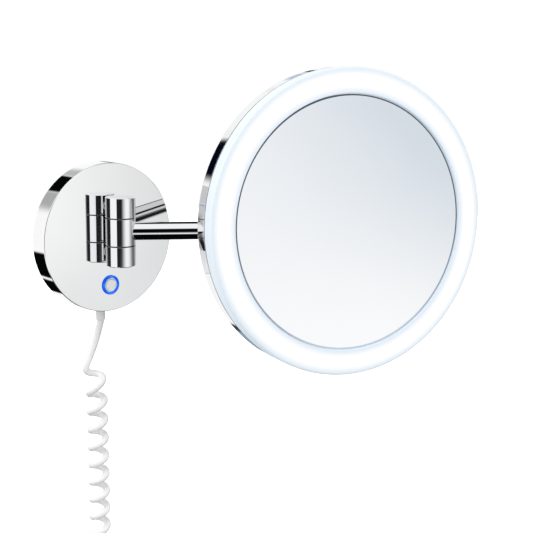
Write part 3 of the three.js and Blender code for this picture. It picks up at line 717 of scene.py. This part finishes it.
def make_plug():
    """A slim two-pin plug, with its ribbed strain relief and half-sleeved pins."""
    centre, radius, low, high = turned_size("plug_relief", WORLD)
    relief_wall = 0.35
    neck = CORD_DIAMETER / 2 + relief_wall
    outline = [[0, high, 0], [neck, high, 0.2]]
    ribs = 4
    step = (high - low) / ribs
    for i in range(ribs):
        top = high - step * i
        wide = neck + (radius - neck) * (i + 1) / ribs
        for inward, drop, fillet in ((0, 0.30, 0.25), (0, 0.72, 0.25), (0.5, 0.80, 0.12), (0.5, 0.98, 0.12)):
            outline.append([wide - inward, top - drop * step, fillet])
    outline.append([0, low, 0])
    relief = lathe("plug_relief", outline, WORLD, centre, sides=56, steps=3)
    pieces = [settle(relief, "wall_unit", WHITE_PLASTIC, "white_plastic", "plug_relief")]

    low_corner, high_corner = span("plug_body", WORLD)
    middle = (low_corner + high_corner) / 2
    half_width = (high_corner.x - low_corner.x) / 2
    half_depth = (high_corner.y - low_corner.y) / 2
    top, bottom = high_corner.z - middle.z, low_corner.z - middle.z
    front = Matrix.Translation(middle * MM) @ WALL
    left = [
        [-7, top, 3], [-half_width + 2, top - 12, 8],
        [-half_width, top - 18, 12], [-half_width + 1, bottom, 2.5],
    ]
    right = [[-x, y, fillet] for x, y, fillet in reversed(left)]
    body = prism("plug_body", left + right, -half_depth, half_depth, front, bevel=2.2)
    grip = []
    for height in (-4, -1, 2, 5, 8):
        groove = rectangle(-9, 9, height - 0.5, height + 0.5, 0.3)
        for face in (-half_depth, half_depth):
            grip.append(prism("grip", groove, face - 0.5, face + 0.5, front))
    combine(body, grip, "DIFFERENCE")
    pieces.append(settle(body, "wall_unit", WHITE_PLASTIC, "white_plastic", "plug_body"))
    for side in ("left", "right"):
        node = f"plug_pin_{side}"
        centre, radius, low, high = turned_size(node, WORLD)
        sleeve_end = high - 10
        bare = radius - 0.15
        pin = lathe(node, [
            [0, high, 0], [radius, high, 0], [radius, sleeve_end, 0.1], [bare, sleeve_end - 0.1, 0],
            [bare, low + 1.6, 1.4], [1.1, low, 0.4], [0, low, 0],
        ], WORLD, centre, sides=32)
        settle(pin, "wall_unit", STEEL, "steel", node)
        repaint(pin, NYLON, lambda place: place.z > sleeve_end - 0.05)
        pieces.append(pin)
    return pieces


# ---- the wall unit ----
def grub_frame():
    """Frame on the grub screw's axis: +Z points out of the plate's rim."""
    low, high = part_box("cover_grub_screw")
    middle = (low + high) / 2
    out = Vector((middle.x, 0, middle.z)).normalized()
    side = Vector((0, 1, 0)).cross(out)
    return place_of(Vector((0, middle.y, 0)), side, out.cross(side), out)


GRUB = grub_frame()
HOLE_SLACK = 0.3
GRUB_HOLE = circle(0, 0, turned_size("cover_grub_screw", GRUB)[1] + HOLE_SLACK, 24)


def make_cover():
    """The round cover: a shell with holes for the ferrule and the grub screw."""
    radius, _, depth = span("plate_cover", WALL)[1]
    wall = 1.7
    cover = lathe("plate_cover", [
        [0, depth - wall, 0], [radius - wall, depth - wall, 0.4], [radius - wall, 0, 0.2], [radius, 0, 0.3],
        [radius, depth, 0.75], [0, depth, 0],
    ], WALL, sides=192)
    ferrule, ferrule_radius, _, _ = turned_size("cord_ferrule", WORLD)
    cord_hole = circle(ferrule.x, ferrule.y, ferrule_radius + HOLE_SLACK)
    combine(cover, [
        prism("hole", cord_hole, -radius - 2, -radius + 5, WORLD),
        prism("hole", GRUB_HOLE, radius - 4, radius + 2, GRUB),
    ], "DIFFERENCE")
    settle(cover, "wall_unit", PLATE_CHROME, "polished_plate", "plate_cover")


def make_grub_screw():
    _, radius, low, high = turned_size("cover_grub_screw", GRUB)
    screw = lathe("cover_grub_screw", [
        [0, low, 0], [radius - 0.5, low, 0.1], [radius, low + 0.5, 0.1], [radius, high, 0.25], [0, high, 0],
    ], GRUB, sides=32)
    socket = prism("socket", hexagon(0, 0, 2), high - 1.6, high + 1, GRUB)
    combine(screw, [socket], "DIFFERENCE")
    settle(screw, "wall_unit", STEEL, "steel", "cover_grub_screw")


def make_bracket():
    """The stamped wall bracket: a disc with three turned-up tabs and two upright fixing slots."""
    thickness = 1.8
    radius = 50
    bracket = lathe("wall_bracket", [
        [0, 0, 0], [radius, 0, 0.3], [radius, thickness, 0.3], [0, thickness, 0],
    ], WALL, sides=128)
    reach = 57.9
    tabs = []
    for angle in (-50, 90, 190):
        turn = WALL @ Matrix.Rotation(math.radians(angle), 4, "Z")
        tabs.append(prism("tab", rectangle(radius - 6, reach, -8, 8, 1.5), 0.02, thickness - 0.03, turn))
        tabs.append(prism("tab", rectangle(reach - 2, reach - 0.02, -7.9, 7.9, 0.5), 0.3, 11, turn))
    combine(bracket, tabs, "UNION")
    slots = [prism("slot", rectangle(x - 2.6, x + 2.6, -7, 7, 2.2), -1, 4, WALL) for x in (-33, 33)]
    slots.append(prism("slot", GRUB_HOLE, 52, 60, GRUB))
    combine(bracket, slots, "DIFFERENCE")
    settle(bracket, "wall_unit", STEEL, "steel", "wall_bracket")


def make_stubs():
    """Two round stubs that carry the barrel: a dark neck with a thin steel collar behind the barrel."""
    plate_face = span("plate_cover", WALL)[1].z
    for side in ("upper", "lower"):
        node = f"hinge_stub_{side}"
        low, high = span(node, WALL)
        centre = ((low + high) / 2).xy
        radius = (high.x - low.x) / 2
        neck = radius - 0.8
        collar = plate_face + 1.7
        front = collar + 1.2
        end = -SWING_PIVOT.y / MM - 4
        stub = lathe(node, [
            [0, plate_face - 2, 0], [neck, plate_face - 2, 0], [neck, collar, 0.1], [radius, collar, 0.3],
            [radius, front, 0.2], [neck, front, 0.1], [neck, end, 0.1], [0, end, 0],
        ], WALL, centre, sides=64)
        settle(stub, "wall_unit", STEEL, "chrome", node)
        repaint(stub, NYLON, lambda place: place.z < collar)


def knuckle_outline(radius, low, high, free_ends):
    """A knuckle's profile: a free end has a chamfer, an end on a groove only a broken edge."""
    chamfer = 0.5
    outline = [[0, low, 0]]
    if "low" in free_ends:
        outline += [[radius - chamfer, low, 0.15], [radius, low + chamfer, 0.15]]
    else:
        outline.append([radius, low, 0.12])
    if "high" in free_ends:
        outline += [[radius, high - chamfer, 0.15], [radius - chamfer, high, 0.15]]
    else:
        outline.append([radius, high, 0.12])
    outline.append([0, high, 0])
    return outline


def make_knuckle(node, place, body, free_ends=(), open_below=None):
    """A turned knuckle; `open_below` is [radius, depth] of a recess in its lower end."""
    centre, radius, low, high = turned_size(node, place)
    outline = knuckle_outline(radius, low, high, free_ends)
    if open_below:
        recess, depth = open_below
        outline[0:1] = [[0, low + depth, 0], [recess, low + depth, 0.1], [recess, low, 0.15]]
    piece = lathe(node, outline, place, centre, sides=128)
    settle(piece, body, CHROME, "chrome", node)


def make_washer(node, place, body, bore, broken_edge, sides):
    centre, radius, low, high = turned_size(node, place)
    washer = lathe(node, [
        [bore, low, broken_edge], [radius, low, 0.1], [radius, high, 0.1], [bore, high, broken_edge],
    ], place, centre, sides, closed=True, steps=3)
    settle(washer, body, NYLON, "nylon", node)


def make_pin(node, place, body, washers):
    """A hinge pin, seen only by its head, which has a hexagon socket."""
    centre, radius, low, high = turned_size(node, place)
    shaft = 3
    pin = lathe(node, [
        [0, low, 0], [radius, low, 0.4], [radius, low + 2, 0.1], [shaft, low + 2, 0.1], [shaft, high, 0.4],
        [0, high, 0],
    ], place, centre, sides=64)
    socket = prism("socket", hexagon(centre.x, centre.y, 4), low - 1, low + 1.2, place)
    combine(pin, [socket], "DIFFERENCE")
    settle(pin, body, STEEL, "steel", node)
    for washer in washers:
        make_washer(washer, place, body, shaft + 0.3, 0.08, 64)


def make_button():
    centre, radius, low, high = turned_size("button_light_ring", WALL)
    _, cap_radius, cap_low, cap_high = turned_size("button_cap", WALL)
    face = span("plate_cover", WALL)[1].z
    inner = cap_radius + 0.3
    ring = lathe("button_light_ring", [
        [inner, low, 0.1], [radius - 1, low, 0.1], [radius - 1, face + 0.1, 0], [radius, face + 0.1, 0.05],
        [radius, high, 0.25], [inner, high, 0.15],
    ], WALL, centre, sides=96, closed=True, steps=4)
    settle(ring, "wall_unit", BLUE_LIGHT, "blue_light", "button_light_ring")
    dish = 0.25
    cap = lathe("button_cap", [
        [0, cap_low, 0], [cap_radius, cap_low, 0.1], [cap_radius, cap_high, 0.2],
        [cap_radius - 0.7, cap_high - 0.02, 0.1], [cap_radius - 1.2, cap_high - dish, 0.3],
        [0, cap_high - dish, 0],
    ], WALL, centre, sides=96)
    settle(cap, "button", BUTTON_METAL, "button_metal", "button_cap")


# ---- the arm and the yoke ----
# In a frame turned by SIDE_ON, +X runs towards the mirror, +Y up and +Z across.
SIDE_ON = Matrix(((0, 0, 1, 0), (-1, 0, 0, 0), (0, 1, 0, 0), (0, 0, 0, 1)))
NOSE = 4.2                       # radius of the round end of the tongue and of the ears


def make_arm():
    low, high = span("arm_tube", ARM)
    radius = (high.y - low.y) / 2
    tube = lathe("arm_tube", [
        [0, low.z - 2, 0], [radius, low.z - 2, 0], [radius, high.z + 2, 0], [0, high.z + 2, 0],
    ], ARM, sides=128)
    settle(tube, "arm", CHROME, "chrome", "arm_tube")


def make_yoke():
    """The upper barrel of the tip, with the flat tongue that reaches between the ears."""
    radius = turned_size("tip_knuckle_lower", TIP)[1]
    bottom = span("swivel_washer", TIP)[1].z + 0.25
    top = span("tip_knuckle_upper", TIP)[1].z
    barrel = lathe("tip_knuckle_upper", knuckle_outline(radius, bottom, top, ["high"]), TIP, sides=128)
    # The tilt axis, seen from the side, lies this far in front of and above the swivel's pivot.
    pivot = TILT.inverted() @ SWIVEL_PIVOT / MM
    reach = abs(pivot.z)
    rise = abs(pivot.y)
    outline = [[radius - 4, bottom + 0.05, 0], [reach - NOSE, bottom + 0.05, 0]]
    for i in range(25):
        angle = math.radians(180 + 243 * i / 24)
        outline.append([reach + NOSE * math.cos(angle), rise + NOSE * math.sin(angle), 0])
    outline += [[radius - 1, bottom + 12, 0.4], [radius - 4, bottom + 12, 0]]
    tongue = prism("tongue", outline, -4, 4, TIP @ SIDE_ON, bevel=0.35)
    combine(barrel, [tongue], "UNION")
    settle(barrel, "yoke", CHROME, "chrome", "tip_knuckle_upper")


# ---- the mirror head ----
# In a frame turned by EAR_VIEW, +X runs along the head's +Z, +Y up and +Z across.
EAR_VIEW = Matrix(((0, 0, 1, 0), (0, 1, 0, 0), (-1, 0, 0, 0), (0, 0, 0, 1))).inverted()


def make_tilt_bracket():
    """A round flange with the two ears that hold the tilt bolt."""
    front = span("tilt_bracket", HEAD)[1].z
    flange_radius = 20
    back = 5.2
    bracket = lathe("tilt_bracket", [
        [0, back, 0], [flange_radius, back, 0.5], [flange_radius, front, 0.1], [0, front, 0],
    ], HEAD, sides=96)
    outline = [[front - 0.5, -NOSE - 1.5, 0]]
    for i in range(29):
        angle = math.radians(-75.6 - 208.8 * i / 28)
        outline.append([NOSE * math.cos(angle), NOSE * math.sin(angle), 0])
    outline.append([front - 0.5, NOSE + 1.5, 0])
    ears = [prism("ear", outline, low, low + 3, HEAD @ EAR_VIEW, bevel=0.4) for low in (-8.1, 5.1)]
    combine(bracket, ears, "UNION")
    settle(bracket, "mirror_head", CHROME, "chrome", "tilt_bracket")


def make_bolt():
    """The tilt bolt with its hexagon socket, its nut and its two washers."""
    low, high = span("tilt_bolt", TILT_PIN)
    head, shaft = 3.4, 2
    bolt = lathe("tilt_bolt", [
        [0, low.z, 0], [head, low.z, 0.9], [head, low.z + 2, 0.1], [shaft, low.z + 2, 0],
        [shaft, high.z, 0.4], [0, high.z, 0],
    ], TILT_PIN, sides=64)
    socket = prism("socket", hexagon(0, 0, 2.5), low.z - 1, low.z + 1.3, TILT_PIN)
    combine(bolt, [socket], "DIFFERENCE")
    settle(bolt, "mirror_head", STEEL, "steel", "tilt_bolt")
    low, high = span("tilt_nut", TILT_PIN)
    across_flats = 7
    corner = across_flats / math.sqrt(3)
    nut = prism("tilt_nut", hexagon(0, 0, across_flats), low.z, high.z, TILT_PIN)
    rounding = lathe("rounding", [
        [0, low.z - 0.01, 0], [corner - 0.25, low.z - 0.01, 0], [corner + 0.1, low.z + 0.3, 0],
        [corner + 0.1, high.z - 0.5, 0], [corner - 0.5, high.z + 0.01, 0], [0, high.z + 0.01, 0],
    ], TILT_PIN, sides=64)
    combine(nut, [rounding], "INTERSECT")
    bore = prism("bore", circle(0, 0, shaft + 0.15), low.z - 1, high.z + 1, TILT_PIN)
    combine(nut, [bore], "DIFFERENCE")
    settle(nut, "mirror_head", STEEL, "steel", "tilt_nut")
    for side in ("left", "right"):
        make_washer(f"tilt_washer_{side}", TILT_PIN, "mirror_head", shaft + 0.3, 0.05, 48)


def make_bracket_screws():
    """Four pan-head screws with cross recesses, on the back of the tilt bracket."""
    for i in range(1, 5):
        node = f"bracket_screw_{i}"
        centre, radius, low, high = turned_size(node, HEAD)
        shank = 1.6
        screw = lathe(node, [
            [0, low, 0], [radius, low, 1.0], [radius, low + 1.7, 0.1], [shank, low + 1.7, 0],
            [shank, high, 0.2], [0, high, 0],
        ], HEAD, centre, sides=40)
        recess = []
        for half_x, half_y in ((1.5, 0.3), (0.3, 1.5)):
            arm = rectangle(centre.x - half_x, centre.x + half_x, centre.y - half_y, centre.y + half_y)
            recess.append(prism("recess", arm, low - 1, low + 1.1, HEAD))
        combine(screw, recess, "DIFFERENCE")
        settle(screw, "mirror_head", STEEL, "steel", node)


def make_housing():
    """The head's shallow pan, with its front lip painted dark as the shade of the gap under the diffuser, and
    a satin back.
    """
    low, high = span("head_housing", HEAD)
    radius, back, front = high.x, low.z, high.z
    wall = 1.6
    lip = front - 0.7
    housing = lathe("head_housing", [
        [0, back, 0], [radius, back, 1.5], [radius, lip, 0.2], [radius - 0.6, lip, 0.05],
        [radius - 0.6, front, 0.1], [radius - wall, front, 0.2], [radius - wall, back + wall, 0.5],
        [0, back + wall, 0],
    ], HEAD, sides=256)
    settle(housing, "mirror_head", CHROME, "chrome", "head_housing")
    # Painted shade: the lip's faces take dark rubber, for the shadow in the gap between the pan and the
    # diffuser.
    repaint(housing, RUBBER, lambda place: place.z > lip - 0.05)
    repaint(housing, SATIN_CHROME, lambda place: place.z < back + 0.05)


def make_light_ring():
    """The diffuser: a channel open to the back, a narrow slit away from the glass."""
    low, high = span("light_ring", HEAD)
    radius, back, front = high.x, low.z, high.z
    slit = 0.5
    inner = span("mirror_glass", HEAD)[1].x + slit
    wall = 2.4
    ring = lathe("light_ring", [
        [radius - wall, back, 0.2], [radius, back, 0.15], [radius, front, 2.0], [inner, front, 0.5],
        [inner, front - 6, 0.2], [inner + wall, front - 6, 0.2], [inner + wall, front - wall, 0.5],
        [radius - wall, front - wall, 0.5],
    ], HEAD, sides=256, closed=True)
    # The diffuser's glow carries painted shade at its edges.
    settle(ring, "mirror_head", LIT_ACRYLIC_PAINTED_SHADE, "lit_acrylic", "light_ring")


def make_glass():
    """The magnifying mirror: a shallow hollow, with a dark ground edge."""
    radius, _, edge = span("mirror_glass", HEAD)[1]
    sag = 4
    thickness = 3
    curve = (radius ** 2 + sag ** 2) / (2 * sag)
    rings = 22
    ground = radius - 1.3

    def height(r):
        """Height of the hollow front at this distance from the middle."""
        return edge - (math.sqrt(curve ** 2 - r ** 2) - (curve - sag))

    outline = [[radius * i / rings, height(radius * i / rings), 0] for i in range(rings)]
    outline += [[ground - 0.1, height(ground - 0.1), 0], [ground, height(ground), 0]]
    outline += [[ground + 0.1, height(ground + 0.1) - 0.02, 0], [radius - 0.15, height(radius) - 0.1, 0.1]]
    outline += [[radius - 0.05, height(radius) - thickness, 0.1], [0, height(0) - thickness, 0]]
    glass = lathe("mirror_glass", outline, HEAD, sides=256)
    settle(glass, "mirror_head", SILVERED_GLASS, "mirror_glass", "mirror_glass")
    # The ground edge: dark, with painted light paler towards its bottom.
    repaint(glass, GROUND_EDGE_PAINTED_LIGHT, lambda place: place.xy.length > ground)


# ---- materials of the CAD nodes that stay ----
KEPT_NODES = [
    [WHITE_PLASTIC, "led_driver", "terminal_block", "glass_carrier"],
    [STEEL, "driver_screw_lower", "driver_screw_upper", "hinge_backplate", "bracket_nut_plate"],
    [STEEL, "stub_nut_upper", "stub_nut_lower", "switch_nut"],
    [NYLON, "switch_body", "hinge_bush_lower", "hinge_bush_upper"],
    [RUBBER, "return_dome", "glass_pad"],
    [ALUMINIUM, "plate_spacer_1", "plate_spacer_2", "plate_spacer_3", "back_plate"],
    [BOARD, "led_ring_board"],
]


def paint_kept_nodes():
    for look, *nodes in KEPT_NODES:
        for node in nodes:
            piece = frame["nodes"][node]
            piece.material_slots[0].material = look
            piece.visible_glossy = piece["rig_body"] not in UNSEEN_IN_CHROME


# ---- studio ----
WHITE = (1.0, 1.0, 1.0)
BLACK = (0.0015, 0.0017, 0.002)
# Dark and tinted stretches of the surroundings that the chrome reflects. Azimuth 0 is straight in front of
# the wall and grows towards +X. Each is: azimuth from, to, softness; elevation from, to, softness; colour.
# A stretch that reaches past SPLIT_AZIMUTH is counted from 0 to 360, with 180 behind the wall.
SPLIT_AZIMUTH = 140
SURROUNDINGS = [
    # the studio's dark floor, and a dark flag on the left with a soft right edge
    [-180, 180, 1, -95, -41, 6.5, BLACK],
    [-62.8, -10.5, 24, -18.3, 33, 10, (0.016, 0.016, 0.017)],
    [-90, -62.8, 1.2, -40, 50, 6, WHITE],
    [-62.8, -40, 1.2, -18.3, 33, 9.5, (0.016, 0.016, 0.017)],
    [-36, -20, 4.5, -7.5, 32, 4.5, BLACK],
    [-36, -20, 4.5, -95, -34, 5, BLACK],
    # the grey wall on the right, with its bands
    [35, 104, 8, -34, 60, 6, (0.67, 0.675, 0.68)],
    [22, 60, 5, -34, -11, 4, (0.8, 0.805, 0.81)],
    [52, 104, 18, -34, -4.5, 2, (0.165, 0.17, 0.175)],
    [57.5, 104, 4, -40, -11.3, 1.2, (0.012, 0.012, 0.013)],
    [60, 104, 8, 6.3, 15.2, 1.5, BLACK],
    [24, 44, 3, 11.2, 17.5, 1.2, (0.05, 0.05, 0.052)],
    # above and behind: the dark canopy over the arm and the bands on the rims
    [95, 170, 14, 47, 73, 5, BLACK],
    [128, 150, 3, -14, 3, 2, BLACK],
    [128, 150, 3, 22, 52, 3, BLACK],
    [135.8, 138.3, 0.7, 7.4, 10.6, 0.8, (0.02, 0.02, 0.03)],
    [138.3, 143.5, 1.5, 11, 17, 1.5, (0.55, 0.6, 0.72)],
    [150, 172, 4, 26.5, 45, 2.5, (0.5, 0.505, 0.51)],
    [192, 207, 2.5, 18, 45, 5, (0.42, 0.425, 0.43)],
    [171.8, 192, 1.2, 23, 50, 4, BLACK],
    [174.6, 191, 1.1, 7.9, 22, 1.9, (0.0012, 0.0025, 0.008)],
    [170, 200, 2, 0.6, 4.6, 0.6, (0.009, 0.01, 0.02)],
    [170, 200, 2, -1.2, 3, 2.8, (0.009, 0.01, 0.02)],
    # below and behind: the bands on the lower rims
    [189.4, 212, 1.2, -45, -15.9, 1.2, BLACK],
    [169.5, 186.7, 1.4, -45, -28.8, 1, BLACK],
    [125, 153, 1.2, -34, -21, 1.5, (0.28, 0.37, 0.44)],
    [152.5, 156.8, 1, -34, -25.3, 1, (0.045, 0.068, 0.09)],
]
# The floor's pale edge that the magnifying mirror shows: it drops towards the right by this slope.
FLOOR_SLOPE = 0.265
FLOOR_EDGE = (-0.8, 1.0)         # elevation at azimuth 0, and softness
FLOOR_TINT = (0.65, 0.71, 0.77)


class Sky:
    """The world's node tree: white, with soft-edged stretches by direction."""

    def __init__(self):
        world = bpy.data.worlds.new("studio")
        world.use_nodes = True
        bpy.context.scene.world = world
        self.nodes = world.node_tree.nodes
        self.links = world.node_tree.links
        self.nodes.clear()

    def math(self, operation, *values):
        node = self.nodes.new("ShaderNodeMath")
        node.operation = operation
        for socket, value in zip(node.inputs, values):
            if isinstance(value, (int, float)):
                socket.default_value = value
            else:
                self.links.new(value, socket)
        return node.outputs["Value"]

    def step(self, value, edge, softness):
        """0 below the edge and 1 above it, both in degrees."""
        node = self.nodes.new("ShaderNodeMapRange")
        node.interpolation_type = "SMOOTHSTEP"
        node.inputs["From Min"].default_value = math.radians(edge - softness)
        node.inputs["From Max"].default_value = math.radians(edge + softness)
        self.links.new(value, node.inputs["Value"])
        return node.outputs["Result"]

    def window(self, value, low, high, softness):
        return self.math("SUBTRACT", self.step(value, low, softness), self.step(value, high, softness))

    def mix(self, share, first, second):
        node = self.nodes.new("ShaderNodeMix")
        node.data_type = "RGBA"
        # Inputs 6 and 7 and output 2 are the node's colours.
        for key, value in (("Factor", share), (6, first), (7, second)):
            if isinstance(value, tuple):
                node.inputs[key].default_value = (*value, 1)
            else:
                self.links.new(value, node.inputs[key])
        return node.outputs[2]


def make_surroundings():
    sky = Sky()
    parts = sky.nodes.new("ShaderNodeSeparateXYZ")
    sky.links.new(sky.nodes.new("ShaderNodeTexCoord").outputs["Generated"], parts.inputs["Vector"])
    x, y, z = parts.outputs
    elevation = sky.math("ARCSINE", z)
    in_front = sky.math("ARCTAN2", x, sky.math("MULTIPLY", y, -1))
    behind = sky.math("ADD", sky.math("ARCTAN2", sky.math("MULTIPLY", x, -1), y), math.pi)
    color = WHITE
    for az_low, az_high, az_soft, el_low, el_high, el_soft, tint in SURROUNDINGS:
        share = sky.window(elevation, el_low, el_high, el_soft)
        if az_high - az_low < 360:
            azimuth = behind if az_high > SPLIT_AZIMUTH else in_front
            share = sky.math("MULTIPLY", share, sky.window(azimuth, az_low, az_high, az_soft))
        color = sky.mix(share, color, tint)
    raised = sky.math("ADD", elevation, sky.math("MULTIPLY", in_front, FLOOR_SLOPE))
    share = sky.math("SUBTRACT", 1, sky.step(raised, *FLOOR_EDGE))
    for value, low, high, softness in ((in_front, -8, 24, 4), (elevation, -6.4, 10, 0.6)):
        share = sky.math("MULTIPLY", share, sky.window(value, low, high, softness))
    color = sky.mix(share, color, FLOOR_TINT)
    seen = sky.nodes.new("ShaderNodeLightPath").outputs["Is Camera Ray"]
    background = sky.nodes.new("ShaderNodeBackground")
    sky.links.new(sky.mix(seen, color, WHITE), background.inputs["Color"])
    output = sky.nodes.new("ShaderNodeOutputWorld")
    sky.links.new(background.outputs["Background"], output.inputs["Surface"])


def make_floor():
    """A plain white floor below the plug, which lights nothing and shows in no reflection."""
    low = cad_box[0].z - 0.03
    bm = bmesh.new()
    bmesh.ops.create_circle(bm, cap_ends=True, segments=96, radius=4)
    floor = add_object("floor", mesh_of(bm, "floor"), Matrix.Translation((0, 0, low)))
    look = Look("floor", WHITE, 0, 0.9)
    look.set("Emission Color", (*WHITE, 1))
    look.set("Emission Strength", 1)
    floor.data.materials.append(look.material)
    floor.visible_diffuse = False
    floor.visible_glossy = False
    floor.visible_transmission = False
    floor.visible_shadow = False


def make_lamp(name, azimuth, elevation, distance, size, power):
    """A soft square lamp aimed at the object, which doesn't show in the chrome."""
    data = bpy.data.lights.new(name, "AREA")
    data.size = size
    data.energy = power
    lamp = bpy.data.objects.new(name, data)
    bpy.context.scene.collection.objects.link(lamp)
    a, e = math.radians(azimuth), math.radians(elevation)
    out = Vector((math.sin(a) * math.cos(e), -math.cos(a) * math.cos(e), math.sin(e)))
    lamp.location = (cad_box[0] + cad_box[1]) / 2 + out * distance
    lamp.rotation_mode = "QUATERNION"
    lamp.rotation_quaternion = out.to_track_quat("Z", "Y")
    lamp.visible_glossy = False


make_camera()
plug_pieces = make_plug()
ferrule_piece = make_ferrule()
make_cord()
make_cover()
make_grub_screw()
make_bracket()
make_stubs()
make_knuckle("hinge_knuckle_upper", BARREL, "wall_unit", ["high"])
make_knuckle("hinge_knuckle_lower", BARREL, "wall_unit", ["low"], open_below=[6.3, 3])
make_knuckle("hinge_knuckle_middle", BARREL, "arm")
make_pin("hinge_pin", BARREL, "wall_unit", ["hinge_washer_lower", "hinge_washer_upper"])
make_button()
make_arm()
make_knuckle("tip_knuckle_lower", TIP, "arm", ["low"], open_below=[5.3, 3])
make_pin("swivel_pin", TIP, "yoke", ["swivel_washer"])
make_yoke()
make_tilt_bracket()
make_bolt()
make_bracket_screws()
make_housing()
make_light_ring()
make_glass()
paint_kept_nodes()
make_surroundings()
make_floor()
make_lamp("key", -70, 45, 1.6, 1.2, 9)
make_lamp("fill", 30, 10, 1.8, 1.4, 4)
bpy.context.scene.view_settings.view_transform = "Standard"
